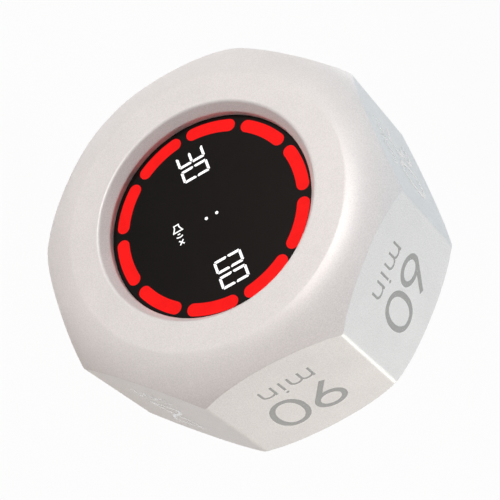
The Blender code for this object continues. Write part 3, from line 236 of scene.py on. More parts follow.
class Tree:
    """A node tree, of a material or of Geometry Nodes, that nodes are added to."""

    def __init__(self, nodes):
        self.nodes = nodes

    def node(self, kind, set_first=None, values=None, output=0):
        """Adds a node: its settings first, then its sockets' values or links."""
        made = self.nodes.nodes.new(kind)
        for name, setting in (set_first or {}).items():
            setattr(made, name, setting)
        for key, value in (values or {}).items():
            if isinstance(value, Value):
                self.nodes.links.new(value.socket, made.inputs[key])
            else:
                made.inputs[key].default_value = value
        return Value(self, made.outputs[output]) if made.outputs else None

    def sum(self, operation, *terms):
        """Adds a Math node."""
        return self.node("ShaderNodeMath", {"operation": operation}, dict(enumerate(terms)))

    def parts(self, vector, labels="XYZ"):
        """Shares of a vector along some of its axes."""
        split = self.node("ShaderNodeSeparateXYZ", {}, {0: vector})
        return [split.output(label) for label in labels]


class Finish(Tree):
    """A material's tree round one Principled shader."""

    def __init__(self, name, **constants):
        self.material = bpy.data.materials.new(name)
        self.material.use_nodes = True
        super().__init__(self.material.node_tree)
        self.shader = self.nodes.nodes["Principled BSDF"]
        for key, value in constants.items():
            label = key.replace("_", " ").title().replace("Ior", "IOR")
            self.shader.inputs[label].default_value = value
        self.place = self.node("ShaderNodeTexCoord", output="Object")

    def feed(self, label, value):
        """Links a value that changes over the surface to the shader."""
        self.nodes.links.new(value.socket, self.shader.inputs[label])

    def noise(self, size, detail=2.0, roughness=0.5, place=None, distortion=0.0):
        """Noise whose lumps are about that long."""
        return self.node("ShaderNodeTexNoise", {}, {
            "Vector": place or self.place, "Scale": 1 / size, "Detail": detail,
            "Roughness": roughness, "Distortion": distortion})

    def spread(self, value, low, high, out_low=0.0, out_high=1.0):
        """Maps one range to another and stops at its ends."""
        return self.node("ShaderNodeMapRange", {}, {
            "Value": value, "From Min": low, "From Max": high,
            "To Min": out_low, "To Max": out_high})

    def full(self, pattern, out_low=0.0, out_high=1.0):
        """Spreads the values that noise mostly has over a whole range."""
        return self.spread(pattern, 0.3, 0.7, out_low, out_high)

    def blend(self, share, first, second):
        """A colour between two, by a share."""
        ends = [end if isinstance(end, Value) else (*end, 1) for end in (first, second)]
        return self.node("ShaderNodeMix", {"data_type": "RGBA"},
                         {0: share, 6: ends[0], 7: ends[1]}, 2)

    def bump(self, height, depth, strength, below=None):
        """A surface that stands up by a height share times a depth."""
        values = {"Height": height, "Distance": depth, "Strength": strength}
        if below:
            values["Normal"] = below
        return self.node("ShaderNodeBump", {}, values)

    def dress(self, colour, roughness, relief=None):
        """Feeds what changes over most finishes and returns the material."""
        self.feed("Base Color", colour)
        self.feed("Roughness", roughness)
        if relief:
            self.feed("Normal", relief)
        return self.material


def shades(colour, darker, lighter):
    """Two shades of a colour."""
    return [tuple(min(part * share, 1) for part in colour) for share in (darker, lighter)]


def moulded_plastic(name, colour, grain=0.24 * MM, relief=0.024 * MM, roughness=0.395):
    """Spark-eroded moulding: fine pits that show more on the flats than on the two ends."""
    finish = Finish(name, ior=1.5, specular_ior_level=0.9)
    pits = finish.noise(grain, 3, 0.6)
    fine = finish.noise(grain * 0.45, 1)
    clouds = finish.noise(9 * MM, 3, 0.55)
    specks = finish.node("ShaderNodeTexVoronoi", {"feature": "F1"},
                         {"Vector": finish.place, "Scale": 1 / (grain * 1.4)})
    tone = 0.52 * pits + 0.34 * fine + 0.14 * clouds
    facing, = finish.parts(finish.node("ShaderNodeNewGeometry", output="Normal"), "Y")
    contrast = finish.spread(abs(facing), 0.2, 1, 4.5, 2.5)
    wear = finish.spread(pits + 0.3 * specks, 0.35, 0.9, roughness - 0.06, roughness + 0.06)
    return finish.dress(
        finish.blend(0.5 + (tone - 0.5) * contrast, *shades(colour, 0.86, 1.14)), wear,
        finish.bump(specks, relief * 0.5, 0.6, finish.bump(pits, relief, 0.9)))


def pad_ink(name, colour):
    """Satin pad print: slightly uneven ink over the shell's grain."""
    finish = Finish(name, metallic=0.5, coat_weight=0.85, coat_roughness=0.16)
    grain = finish.noise(0.28 * MM)
    thin = finish.noise(1.6 * MM, 3, 0.6)
    return finish.dress(
        finish.blend(finish.full(0.6 * grain + 0.4 * thin), *shades(colour, 0.94, 1.10)),
        finish.full(grain, 0.18, 0.28), finish.bump(grain, 0.006 * MM, 0.8))


def dark_glass(name, colour):
    """Black display panel: almost even, a little paler towards one side, faint smears."""
    finish = Finish(name, ior=1.46, specular_ior_level=0.07)
    across, up = finish.parts(finish.place, "XZ")
    slope = finish.spread(0.45 * across + 0.9 * (up - AXIS_HEIGHT), -22 * MM, 22 * MM)
    smear = finish.noise(7 * MM, 4, 0.6, distortion=0.8)
    dust = finish.noise(0.35 * MM)
    return finish.dress(finish.blend(0.8 * slope + 0.2 * smear, *shades(colour, 0.80, 2.1)),
                        finish.full(0.8 * smear + 0.2 * dust, 0.16, 0.24))


def lit(name, colour, strength):
    """A surface that shines, with a barely uneven light."""
    finish = Finish(name, roughness=0.34, specular_ior_level=0.03, emission_strength=strength)
    lamps = finish.noise(2.4 * MM)
    grain = finish.noise(0.3 * MM, 1)
    finish.feed("Emission Color", finish.blend(finish.full(0.75 * lamps + 0.25 * grain),
                                               *shades(colour, 0.97, 1.02)))
    finish.feed("Base Color", finish.blend(finish.full(lamps), *shades(colour, 0.28, 0.34)))
    return finish.material


def soft_rubber(name, colour):
    """Matt rubber with a dusty bloom."""
    finish = Finish(name, ior=1.5, specular_ior_level=0.3)
    bloom = finish.noise(1.8 * MM, 4, 0.6)
    grain = finish.noise(0.12 * MM, 2, 0.6)
    return finish.dress(
        finish.blend(finish.full(0.6 * bloom + 0.4 * grain), *shades(colour, 0.85, 1.25)),
        finish.full(bloom, 0.72, 0.86), finish.bump(grain, 0.015 * MM, 0.8))


def metal(name, colour, roughness, scratch=0.08 * MM, shade_depth=None):
    """Plated steel: fine scratches, a slight tarnish, and painted shade in recesses below a depth.
    """
    finish = Finish(name, metallic=1.0)
    stretched = finish.node("ShaderNodeMapping", {}, {"Vector": finish.place,
                                                      "Scale": (1.0, 0.12, 1.0)})
    lines = finish.noise(scratch, 2, 0.6, place=stretched)
    tarnish = finish.noise(2.0 * MM, 3, 0.6)
    plated = finish.blend(finish.full(0.7 * tarnish + 0.3 * lines), *shades(colour, 0.84, 1.08))
    if shade_depth:
        behind, = finish.parts(finish.place, "Y")
        level = FRONT + shade_depth
        # Painted shade: below this depth the steel fades to a dark copy of its colour, standing in
        # for shade in a recess.
        recess = finish.spread(behind, level - 0.35 * MM, level)
        plated = finish.blend(recess, shades(colour, 0.12, 1)[0], plated)
    return finish.dress(plated, finish.full(lines, roughness - 0.06, roughness + 0.10),
                        finish.bump(lines, 0.004 * MM, 0.6))


def board_green(name):
    """Circuit board: solder mask over tracks and pads."""
    finish = Finish(name, ior=1.5, specular_ior_level=0.5)
    tracks = finish.node("ShaderNodeTexBrick", {"offset": 0.37}, {
        "Vector": finish.place, "Scale": 1 / (4 * MM), "Mortar Size": 0.09, "Mortar Smooth": 0.2,
        "Brick Width": 0.9, "Row Height": 0.45}, "Fac")
    mask = finish.noise(3 * MM, 3)
    ground = finish.blend(mask, (0.006, 0.075, 0.030), (0.020, 0.150, 0.060))
    return finish.dress(finish.blend(tracks, ground, (0.035, 0.22, 0.08)),
                        finish.full(mask, 0.28, 0.42), finish.bump(tracks, 0.03 * MM, 0.6))


def inner_moulding(name, colour, roughness, grain=0.10 * MM):
    """Moulding compound or thin sheet inside the body: fine grain, faint flow marks."""
    finish = Finish(name, ior=1.5, specular_ior_level=0.4)
    fine = finish.noise(grain, 2, 0.6)
    flow = finish.noise(2.2 * MM, 3, 0.55, distortion=1.2)
    return finish.dress(
        finish.blend(finish.full(0.5 * fine + 0.5 * flow), *shades(colour, 0.8, 1.2)),
        finish.full(fine, roughness - 0.07, roughness + 0.07),
        finish.bump(fine, 0.012 * MM, 0.7))


def recipes():
    """Each finish's recipe, its material's name and the recipe's other values."""
    look = bpy.context.scene.timer_finishes
    # Depth where the painted shade in the cover screws' recesses begins.
    screw_shade_depth = seat_of("cover_screw_0")[2] - 0.12 * MM
    return {
        "shell": (moulded_plastic, "shell_plastic", look.shell),
        "cover": (moulded_plastic, "cover_plastic", look.cover, 0.22 * MM, 0.012 * MM, 0.50),
        "knob": (moulded_plastic, "knob_plastic", look.cover, 0.14 * MM, 0.006 * MM, 0.40),
        "ink": (pad_ink, "pad_ink", look.ink),
        "lens": (dark_glass, "display_glass", look.glass),
        "red_light": (lit, "red_light", look.red, 0.72),
        "white_light": (lit, "white_light", look.white, 1.0),
        "foot_rubber": (soft_rubber, "foot_rubber", look.rubber),
        "screw_steel": (metal, "screw_steel", (0.46, 0.46, 0.47), 0.30),
        "cover_screw": (metal, "cover_screw_steel", (0.50, 0.50, 0.51), 0.30, 0.08 * MM,
                        screw_shade_depth),
        "bright_steel": (metal, "bright_steel", (0.68, 0.68, 0.69), 0.24),
        "cell": (metal, "cell_foil", (0.62, 0.62, 0.63), 0.36, 0.3 * MM),
        "reflector": (inner_moulding, "reflector_white", (0.80, 0.79, 0.77), 0.42),
        "led": (inner_moulding, "led_body", (0.72, 0.68, 0.50), 0.32),
        "black_frame": (inner_moulding, "black_frame", (0.022, 0.022, 0.023), 0.48),
        "chip": (inner_moulding, "chip_black", (0.016, 0.016, 0.017), 0.56),
        "foam": (inner_moulding, "foam_grey", (0.07, 0.07, 0.07), 0.88, 0.35 * MM),
        "lead_red": (inner_moulding, "lead_red", (0.50, 0.02, 0.015), 0.40),
        "lead_black": (inner_moulding, "lead_black", (0.015, 0.015, 0.015), 0.42),
        "ribbon": (inner_moulding, "ribbon_amber", (0.50, 0.22, 0.04), 0.34),
        "board": (board_green, "board_green"),
    }


FINISHES = {}


def finish_named(name):
    """The material of a slot or surface, made once."""
    if name not in FINISHES:
        make, *values = recipes()[name]
        FINISHES[name] = make(*values)
    return FINISHES[name]


# Meshes ---------------------------------------------------------------------------------------

def link_piece(name, mesh, finish, body="root", replaces=(), sharp=32.0):
    """Puts a finished mesh in the scene on its body, with smooth round sides."""
    piece = bpy.data.objects.new(name, mesh)
    bpy.context.scene.collection.objects.link(piece)
    if not mesh.materials:
        mesh.materials.append(finish_named(finish))
    mesh.shade_smooth()
    mesh.set_sharp_from_angle(angle=math.radians(sharp))
    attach(piece, body)
    if replaces:
        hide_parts(*replaces)


def mesh_of(name, shape, outwards=True):
    """Turns a bmesh into a mesh, and its faces outwards where they may not point there."""
    if outwards:
        bmesh.ops.recalc_face_normals(shape, faces=shape.faces)
    mesh = bpy.data.meshes.new(name)
    shape.to_mesh(mesh)
    shape.free()
    return mesh


def merge(shape, distance, degrees):
    """Joins vertices that lie together, and faces that lie in one plane."""
    bmesh.ops.remove_doubles(shape, verts=shape.verts, dist=distance)
    bmesh.ops.dissolve_limit(shape, angle_limit=math.radians(degrees), verts=shape.verts,
                             edges=shape.edges)


def settled(name, mesh, kind, settings, inputs=None):
    """Runs one modifier on a mesh and returns the plain mesh that comes out."""
    worker = bpy.data.objects.new(name, mesh)
    bpy.context.scene.collection.objects.link(worker)
    modifier = worker.modifiers.new(name, kind)
    for label, value in settings.items():
        setattr(modifier, label, value)
    for identifier, value in (inputs or {}).items():
        modifier[identifier] = value
    worker.update_tag()
    graph = bpy.context.evaluated_depsgraph_get()
    result = bpy.data.meshes.new_from_object(worker.evaluated_get(graph), depsgraph=graph)
    worker.modifiers.clear()
    bpy.data.objects.remove(worker)
    result.name = name
    return result


def grown(name, mesh, group, sizes):
    """Runs a Geometry Nodes tree on a mesh with sizes for its named inputs."""
    inputs = {item.identifier: sizes[item.name] for item in group.interface.items_tree
              if item.item_type == "SOCKET" and item.in_out == "INPUT" and item.name in sizes}
    return settled(name, mesh, "NODES", {"node_group": group}, inputs)


def polar(distance, turn, centre=(0, 0)):
    """A spot at a distance and a turn from another."""
    return centre[0] + distance * math.cos(turn), centre[1] + distance * math.sin(turn)


def arc(centre, radius, start, end, steps):
    """Points along an arc, both ends included."""
    return [polar(radius, start + (end - start) * k / steps, centre) for k in range(steps + 1)]


def bend(centre, radius, start, end, steps):
    """Points along an arc between two angles in degrees."""
    return arc(centre, radius, math.radians(start), math.radians(end), steps)


def circle(centre, radius, steps):
    """Points round a circle."""
    return arc(centre, radius, 0, math.tau, steps)[:-1]


def rounded(first, corner, last, steps):
    """Points of a soft corner between two points, the ends included."""
    points = []
    for k in range(steps + 1):
        t = k / steps
        points.append(tuple((1 - t) ** 2 * a + 2 * t * (1 - t) * b + t * t * c
                            for a, b, c in zip(first, corner, last)))
    return points


def bridge(shape, first, second):
    """Joins two loops of vertices with faces. A loop of one vertex makes a point."""
    steps = max(len(first), len(second))
    for k in range(steps):
        corners = [first[k % len(first)], first[(k + 1) % len(first)],
                   second[(k + 1) % len(second)], second[k % len(second)]]
        corners = list(dict.fromkeys(corners))
        if len(corners) > 2:
            shape.faces.new(corners)


def turned(shape, profile, steps, centre):
    """Adds a solid turned round an axis along Y: profile points are (radius, depth)."""
    rings = [[shape.verts.new((x, FRONT + depth, z))
              for x, z in circle(centre, radius, steps if radius else 1)]
             for radius, depth in profile]
    closing = rings[:1] if profile[0][0] else []
    for first, second in zip(rings, rings[1:] + closing):
        bridge(shape, first, second)


def stroke(path, width, closed=False, round_ends=False):
    """Polygons that cover a line of some width along a path."""
    points = [Vector(point) for point in path]
    if closed:
        points.append(points[0])
    last = len(points) - 1
    sides = []
    for k, point in enumerate(points):
        before = points[k - 1] if k else (points[-2] if closed else None)
        after = points[k + 1] if k < last else (points[1] if closed else None)
        first = (point - before).normalized() if before is not None else None
        second = (after - point).normalized() if after is not None else first
        first = first or second
        way = first + second
        if way.length < 0.2:                      # the path turns back on itself
            way = second
        way.normalize()
        reach = width / 2 / max(way.dot(second), 0.5)
        normal = Vector((-way.y, way.x)) * reach
        sides.append((point + normal, point - normal))
    polygons = []
    for a, b in zip(sides, sides[1:]):
        polygons += [[a[0], a[1], b[1]], [a[0], b[1], b[0]]]
    if round_ends:
        polygons += [circle(end, width / 2, 16) for end in (points[0], points[-1])]
    return [[tuple(corner) for corner in polygon] for polygon in polygons]


def triangulated(points, outlines):
    """Fills flat outlines: points, triangles, each point's origins, each triangle's outlines."""
    flat, _, triangles, origins, _, sources = delaunay_2d_cdt(points, [], outlines, 0, 1e-5,
                                                              True)
    return flat, triangles, origins, sources


def slab(name, solids, place, thickness, holes=()):
    """A plate made of the union of flat polygons less holes. place maps (x, y, height)."""
    least_area = 1e-7                             # in square millimetres
    points, outlines = [], []
    for polygons in (solids, holes):
        solid_count = len(outlines)
        for polygon in polygons:
            corners = [Vector(point) / MM for point in polygon]
            area = sum(a.cross(b) for a, b in zip(corners, corners[1:] + corners[:1])) / 2
            if abs(area) > least_area:
                outlines.append(list(range(len(points), len(points) + len(corners))))
                points.extend(corners if area > 0 else corners[::-1])
    flat, triangles, _, sources = triangulated(points, outlines)
    shape = bmesh.new()
    low, high = ([shape.verts.new(place(point.x * MM, point.y * MM, height)) for point in flat]
                 for height in (0, thickness))
    sides = {}
    for triangle, source in zip(triangles, sources):
        if source and max(source) < solid_count:
            shape.faces.new([high[k] for k in triangle])
            shape.faces.new([low[k] for k in reversed(triangle)])
            sides.update(dict.fromkeys(zip(triangle, triangle[1:] + triangle[:1])))
    for a, b in sides:
        if (b, a) not in sides:
            shape.faces.new([low[a], low[b], high[b], high[a]])
    bmesh.ops.delete(shape, geom=[v for v in shape.verts if not v.link_faces], context="VERTS")
    merge(shape, 1e-7, 0.5)
    return mesh_of(name, shape)


def on_front(depth):
    """Places flat shapes in a plane across the display's axis, standing towards the front."""
    return lambda x, y, height: (x, FRONT + depth - height, AXIS_HEIGHT + y)


def on_flat(index, apothem, middle):
    """Places flat shapes on a flat: x is the reading way, y is towards the back."""
    turn = math.tau * index / SIDES
    normal = Vector((math.sin(turn), 0, math.cos(turn)))
    reading = Vector((math.cos(turn), 0, -math.sin(turn)))
    centre = Vector((0, FRONT + middle, AXIS_HEIGHT))
    return lambda x, y, height: (centre + reading * x + Vector((0, y, 0))
                                 + normal * (apothem + height))


def geometry_tree(name, inputs):
    """A Geometry Nodes tree with named inputs, and its sockets by name."""
    group = bpy.data.node_groups.new(name, "GeometryNodeTree")
    sides = [("Geometry", "Geometry", "INPUT"), *((*entry, "INPUT") for entry in inputs.items()),
             ("Geometry", "Geometry", "OUTPUT")]
    for label, kind, side in sides:
        group.interface.new_socket(label, in_out=side, socket_type="NodeSocket" + kind)
    tree = Tree(group)
    entry = tree.node("NodeGroupInput")
    return tree, {socket.name: entry.output(socket.name)
                  for socket in entry.socket.node.outputs if socket.name}


def close_tree(tree, geometry, finish):
    """Ends a tree in Realize Instances and Set Material."""
    plain = tree.node("GeometryNodeRealizeInstances", {}, {"Geometry": geometry})
    dressed = tree.node("GeometryNodeSetMaterial", {}, {"Geometry": plain,
                                                        "Material": finish_named(finish)})
    tree.node("NodeGroupOutput", {}, {0: dressed})
    return tree.nodes


def ring_of(name, shape, finish, count, first_turn=0.0):
    """A mesh with a shape repeated round the display's axis."""
    tree, size = geometry_tree(name + "_ring", {"Count": "Int", "First Turn": "Float",
                                                "Axis Height": "Float"})
    centre = tree.node("ShaderNodeCombineXYZ", {}, {"Z": size["Axis Height"]})
    points = tree.node("GeometryNodePoints", {}, {"Count": size["Count"], "Position": centre})
    index = tree.node("GeometryNodeInputIndex")
    turn = size["First Turn"] - index * math.tau / size["Count"]
    rotation = tree.node("ShaderNodeCombineXYZ", {}, {"Y": turn})
    down = tree.node("ShaderNodeCombineXYZ", {}, {"Z": 0 - size["Axis Height"]})
    moved = tree.node("GeometryNodeTransform", {}, {"Geometry": size["Geometry"],
                                                    "Translation": down})
    copies = tree.node("GeometryNodeInstanceOnPoints", {}, {
        "Points": points, "Instance": moved, "Rotation": rotation})
    return grown(name, mesh_of(name + "_source", shape), close_tree(tree, copies, finish),
                 {"Count": count, "First Turn": -first_turn, "Axis Height": AXIS_HEIGHT})


def link_four(name, shape, node, finish):
    """Repeats a piece that was built at a CAD node's spot, in the place of four such nodes."""
    x, z = seat_of(node + "_0")[0]
    first = math.atan2(z - AXIS_HEIGHT, x)
    axis = Matrix.Translation((0, 0, AXIS_HEIGHT))
    bmesh.ops.transform(shape, matrix=axis @ Matrix.Rotation(first, 4, "Y") @ axis.inverted(),
                        verts=shape.verts)
    link_piece(name, ring_of(name, shape, finish, POSTS, first), finish,
               replaces=[f"{node}_{k}" for k in range(POSTS)])


# The shell ------------------------------------------------------------------------------------

FIXED, END_CURVE, CREASE, FLAT, INNER_WALL = range(5)


def shell_tree(finish, names):
    """The shell's rule: a turned profile whose outer part follows the eight flats.

    A grid point carries (a, b, turn), and its zone says what a and b mean.
    """
    tree, size = geometry_tree("eight_sided_shell", {name: "Float" for name in names})
    a, b, turn = tree.parts(tree.node("GeometryNodeInputPosition"))
    zone = tree.node("GeometryNodeInputNamedAttribute", {"data_type": "FLOAT"}, {"Name": "zone"})

    corner = math.pi / SIDES
    apothem, edge = size["Apothem"], size["Long Edge Radius"]
    off_middle = tree.sum("PINGPONG", turn, corner)
    off_corner = corner - off_middle
    sharp = apothem / off_middle.cos()
    centre = (apothem - edge) / math.cos(corner)
    chord = centre * off_corner.sin()
    rounded_edge = centre * off_corner.cos() + (edge * edge - chord * chord).root()
    edge_start = tree.sum("ARCTANGENT", math.tan(corner) * (apothem - edge) / apothem)
    reach = sharp + (rounded_edge - sharp) * (off_middle > edge_start)

    flat_end, arc_radius, inset = (size[name] for name in (
        "End Flat Radius", "End Arc Radius", "End Arc Inset"))
    arc_centre = flat_end - inset
    arc_depth = (arc_radius * arc_radius - inset * inset).root()

    def depth_at(radius):
        across = radius - arc_centre
        return arc_depth - (arc_radius * arc_radius - across * across).root()

    crease = size["Crease Radius"]
    curve_end = reach - crease
    curve_radius = flat_end + (curve_end - flat_end) * a
    corner_depth = depth_at(reach)
    flat_start = corner_depth + crease
    back = 1 - a
    crease_radius = back * back * curve_end + (1 - back * back) * reach
    crease_depth = (back * back * depth_at(curve_end) + 2 * back * a * corner_depth
                    + a * a * flat_start)
    rear = b > 0.5

    def towards_rear(depth, share):
        """A share of the way from a depth to the same depth counted from the rear end."""
        return depth + (size["Body Depth"] - 2 * depth) * share

    in_zone = [zone.is_near(k) for k in range(5)]
    radius = (in_zone[FIXED] * a + in_zone[END_CURVE] * curve_radius
              + in_zone[CREASE] * crease_radius + in_zone[FLAT] * reach
              + in_zone[INNER_WALL] * (reach - size["Side Wall"]))
    depth = ((in_zone[FIXED] + in_zone[INNER_WALL]) * b
             + in_zone[END_CURVE] * towards_rear(depth_at(curve_radius), rear)
             + in_zone[CREASE] * towards_rear(crease_depth, rear)
             + in_zone[FLAT] * towards_rear(flat_start, a))
    place = tree.node("ShaderNodeCombineXYZ", {}, {
        "X": radius * turn.cos(), "Y": size["Front"] + depth,
        "Z": size["Axis Height"] + radius * turn.sin()})
    moved = tree.node("GeometryNodeSetPosition", {}, {"Geometry": size["Geometry"],
                                                      "Position": place})
    return close_tree(tree, moved, finish)


def shell_turns(apothem, edge):
    """Turns of the shell's grid, close together on the rounded long edges."""
    corner = math.pi / SIDES
    start = math.atan(math.tan(corner) * (apothem - edge) / apothem)
    support = 0.15 * MM / apothem
    flat_steps, edge_steps = 14, 6
    flat = [-start]
    flat += [(-start + support) + 2 * (start - support) * k / flat_steps
             for k in range(flat_steps + 1)]
    gap = 2 * (corner - start)
    flat += [start + gap * k / edge_steps for k in range(edge_steps)]
    return [2 * corner * side + turn for side in range(SIDES) for turn in flat]


def shell_rings(size):
    """The shell's closed profile as (zone, a, b), from the recess round the outside."""
    rings = []

    def fixed(*points):
        rings.extend((FIXED, radius, level) for radius, level in points)

    def along(zone, shares, end):
        rings.extend((zone, share, end) for share in shares)

    # the recess: a straight foot, a bend into the slope and a soft lip
    floor, lip, soft, turn = size.floor_radius, size.lip_radius, size.lip_softening, 0.25 * MM
    slope, slope_end = (lip - floor) / size.slope_depth, size.slope_depth
    foot, support = size.front_wall + 0.24 * MM, 0.1 * MM
    lip_foot = (lip - slope * soft, soft)
    after = (floor + slope * turn, slope_end - turn)
    fixed((floor, foot), (floor, foot - support), (floor, slope_end + 0.4 * MM))
    fixed(*rounded((floor, slope_end + turn), (floor, slope_end), after, 5))
    fixed(*(tuple(a + (b - a) * k for a, b in zip(after, lip_foot)) for k in (0.15, 0.5, 0.85)))
    fixed(*rounded(lip_foot, (lip, 0), (lip + soft, 0), 6))

    # the front face, the outside and the rear end's curve
    edge = size.end_flat_radius
    fixed((lip + 1.5 * soft, 0), *((lip + (edge - lip) * k, 0) for k in (0.35, 0.6, 0.8)),
          (edge - 0.35 * MM, 0))
    curve = [0, 0.04, 0.09] + [k / 14 for k in range(2, 14)] + [0.975, 1]
    creases = [k / 6 for k in range(1, 6)]
    along(END_CURVE, curve, 0)
    along(CREASE, creases, 0)
    along(FLAT, (0, 0.008, 0.12, 0.3, 0.5, 0.7, 0.88, 0.992, 1), 0)
    along(CREASE, reversed(creases), 1)
    along(END_CURVE, reversed(curve), 1)

    # the rear opening with its ledge, the hollow, and the pocket behind the recess
    depth, wall, rim, ledge = (size.body_depth, size.front_wall, size.seat_radius,
                               size.ledge_radius)
    rim_soft, ledge_back, ledge_front = 0.2 * MM, depth - 2.7 * MM, depth - 4.7 * MM
    ledge_root, hollow_back, hollow_front = 3.5 * MM, depth - 5.9 * MM, 5.3 * MM
    wall_edge, pocket, gasket, gasket_depth = 30 * MM, 23.5 * MM, 22.2 * MM, 0.7 * MM
    fixed(*rounded((rim + rim_soft, depth), (rim, depth), (rim, depth - rim_soft), 4))
    fixed((rim, depth - 2 * rim_soft), (rim, ledge_back), (ledge, ledge_back),
          (ledge, ledge_front), (ledge + ledge_root, ledge_front))
    rings.extend([(INNER_WALL, 0, hollow_back), (INNER_WALL, 0, hollow_front)])
    fixed((wall_edge, wall), (pocket, wall), (pocket, wall - gasket_depth),
          (gasket, wall - gasket_depth), (gasket, foot))
    return rings


class TIMER_OT_shell(bpy.types.Operator):
    """Builds the eight-sided shell with its recess and its screw posts"""

    bl_idname = "timer.shell"
    bl_label = "Shell"

    def execute(self, context):
        size = context.scene.timer_shell
        apothem = size.across_flats / 2 - size.print_thickness
        turns = shell_turns(apothem, size.long_edge_radius)
        shape = bmesh.new()
        layer = shape.verts.layers.float.new("zone")
        grid = []
        for zone, a, b in shell_rings(size):
            row = [shape.verts.new((a, b, turn)) for turn in turns]
            for vertex in row:
                vertex[layer] = zone
            grid.append(row)
        for row, after in zip(grid, grid[1:] + grid[:1]):
            for k in range(len(turns)):
                shape.faces.new([row[k], row[k - 1], after[k - 1], after[k]])
        sizes = {field.replace("_", " ").title(): getattr(size, field) for field in (
            "body_depth", "long_edge_radius", "end_flat_radius", "end_arc_radius",
            "end_arc_inset", "crease_radius", "side_wall")}
        sizes |= {"Apothem": apothem, "Front": FRONT, "Axis Height": AXIS_HEIGHT}
        mesh = grown("shell", mesh_of("shell_grid", shape, False), shell_tree("shell", sizes),
                     sizes)
        link_piece("shell", mesh, "shell", replaces=["housing"])

        # a post's distance from the axis, its radius, root, tip, bore's end and first turn
        pilot, wall = 1.1 * MM, size.front_wall
        posts = (("front_posts", 25.5 * MM, 1.7 * MM, wall, wall + 6.7 * MM, wall + 4.0 * MM,
                  math.pi / SIDES),
                 ("rear_posts", 25.6 * MM, 1.9 * MM, 29.3 * MM, 34.5 * MM, 30.8 * MM,
                  math.pi / POSTS))
        for name, distance, radius, root, tip, bore, first in posts:
            shape = bmesh.new()
            turned(shape, [(0, root), (radius, root), (radius, tip), (pilot, tip),
                           (pilot, bore), (0, bore)], 32, (distance, AXIS_HEIGHT))
            link_piece(name, ring_of(name, shape, "shell", POSTS, first), "shell")
        return {"FINISHED"}


# The display ----------------------------------------------------------------------------------

def bar_outline(size, turn, margin=0.0):
    """Outline of the light bar whose middle is at a turn, with full round ends."""
    middle = (size.bar_outer + size.bar_inner) / 2
    cap = (size.bar_outer - size.bar_inner) / 2
    half = math.pi / size.bar_count - (size.bar_spacing / 2 + cap) / middle
    start, end = turn - half, turn + half
    outer = arc((0, 0), size.bar_outer + margin, start, end, 24)
    inner = arc((0, 0), size.bar_inner - margin, end, start, 24)
    last = arc(polar(middle, end), cap + margin, end, end + math.pi, 12)
    first = arc(polar(middle, start), cap + margin, start + math.pi, start + math.tau, 12)
    return outer + last[1:] + inner[1:] + first[1:-1]


class TIMER_OT_glass(bpy.types.Operator):
    """Builds the black display panel with a slot for each light bar"""

    bl_idname = "timer.glass"
    bl_label = "Display Panel"

    def execute(self, context):
        size = context.scene.timer_display
        clearance = 0.02 * MM
        slots = [bar_outline(size, math.tau * (k + 0.5) / size.bar_count, clearance)
                 for k in range(size.bar_count)]
        mesh = slab("display_panel", [circle((0, 0), LENS_RADIUS, 160)], on_front(LENS_BACK),
                    LENS_BACK - LENS_FRONT, slots)
        link_piece("display_panel", mesh, "lens", replaces=["display_lens"])
        return {"FINISHED"}


class TIMER_OT_light_ring(bpy.types.Operator):
    """Builds the ten red light bars on their ring"""

    bl_idname = "timer.light_ring"
    bl_label = "Light Ring"

    def execute(self, context):
        size = context.scene.timer_display
        base_thickness, inner_margin = 0.8 * MM, 0.6 * MM
        _, _, back, outer = seat_of("light_guide")
        front, inner = back - base_thickness, size.bar_inner - inner_margin
        bar = slab("bar_source", [bar_outline(size, math.pi / size.bar_count)], on_front(front),
                   front - LENS_FRONT)
        shape = bmesh.new()
        shape.from_mesh(bar)
        link_piece("light_bars", ring_of("light_bars", shape, "red_light", size.bar_count),
                   "red_light")
        shape = bmesh.new()
        turned(shape, [(inner, front), (outer, front), (outer, back), (inner, back)], 96,
               (0, AXIS_HEIGHT))
        link_piece("light_guide_ring", mesh_of("light_guide_ring", shape), "red_light",
                   replaces=["light_guide"])
        return {"FINISHED"}


# What is lit, with places and sizes in units round the display's middle.
DIGITS, DIGIT_CENTRES, DIGIT_RISE = "3000", (-0.7095, -0.5368, 0.5385, 0.7115), 0.0025
SEGMENTS = {"0": "abcdef", "3": "abgcd"}
COLON_RADIUS, COLON_SIDE, COLON_LEVELS = 0.0162, -0.0005, (0.0577, -0.0555)
SIGN_LEVEL, SIGN_LINE = -0.3570, 0.0118
SPEAKER = ((-0.1007, 0.0248), (-0.0745, 0.0248), (-0.0290, 0.0480), (-0.0290, -0.0480),
           (-0.0745, -0.0248), (-0.1007, -0.0248))
SOUND_WAVES = (((-0.030, 0), 0.0330, -0.42, 0.42, 8), ((-0.0285, 0), 0.0650, -0.54, 0.54, 12))
CROSS_CENTRE, CROSS_REACH = (0.0960, 0.0008), 0.0235


def digit_segments(width, height, thick, gap):
    """The seven segments of a digit round its centre, a to g."""
    w, h = width / 2, height / 2
    cut, slack, taper = 0.65 * thick, 0.7 * gap, 0.55 * thick
    top = [(-w + cut, h), (w - cut, h), (w - cut / 2 - slack, h - cut / 2),
           (w - thick - slack, h - thick), (-w + thick + slack, h - thick),
           (-w + cut / 2 + slack, h - cut / 2)]
    side = [(w, h - cut), (w - cut / 2, h - cut / 2 - slack), (w - thick, h - thick - slack),
            (w - thick, 0.78 * thick), (w - 0.42 * thick, 0.20 * thick), (w, 0.42 * thick)]
    tip = w - 0.40 * thick - gap
    middle = [(-tip, 0), (-tip + taper, thick / 2), (tip - taper, thick / 2),
              (tip, 0), (tip - taper, -thick / 2), (-tip + taper, -thick / 2)]

    def flip(outline, across, up):
        return [(x * across, y * up) for x, y in outline]

    return {"a": top, "b": side, "c": flip(side, 1, -1), "d": flip(top, 1, -1),
            "e": flip(side, -1, -1), "f": flip(side, -1, 1), "g": middle}


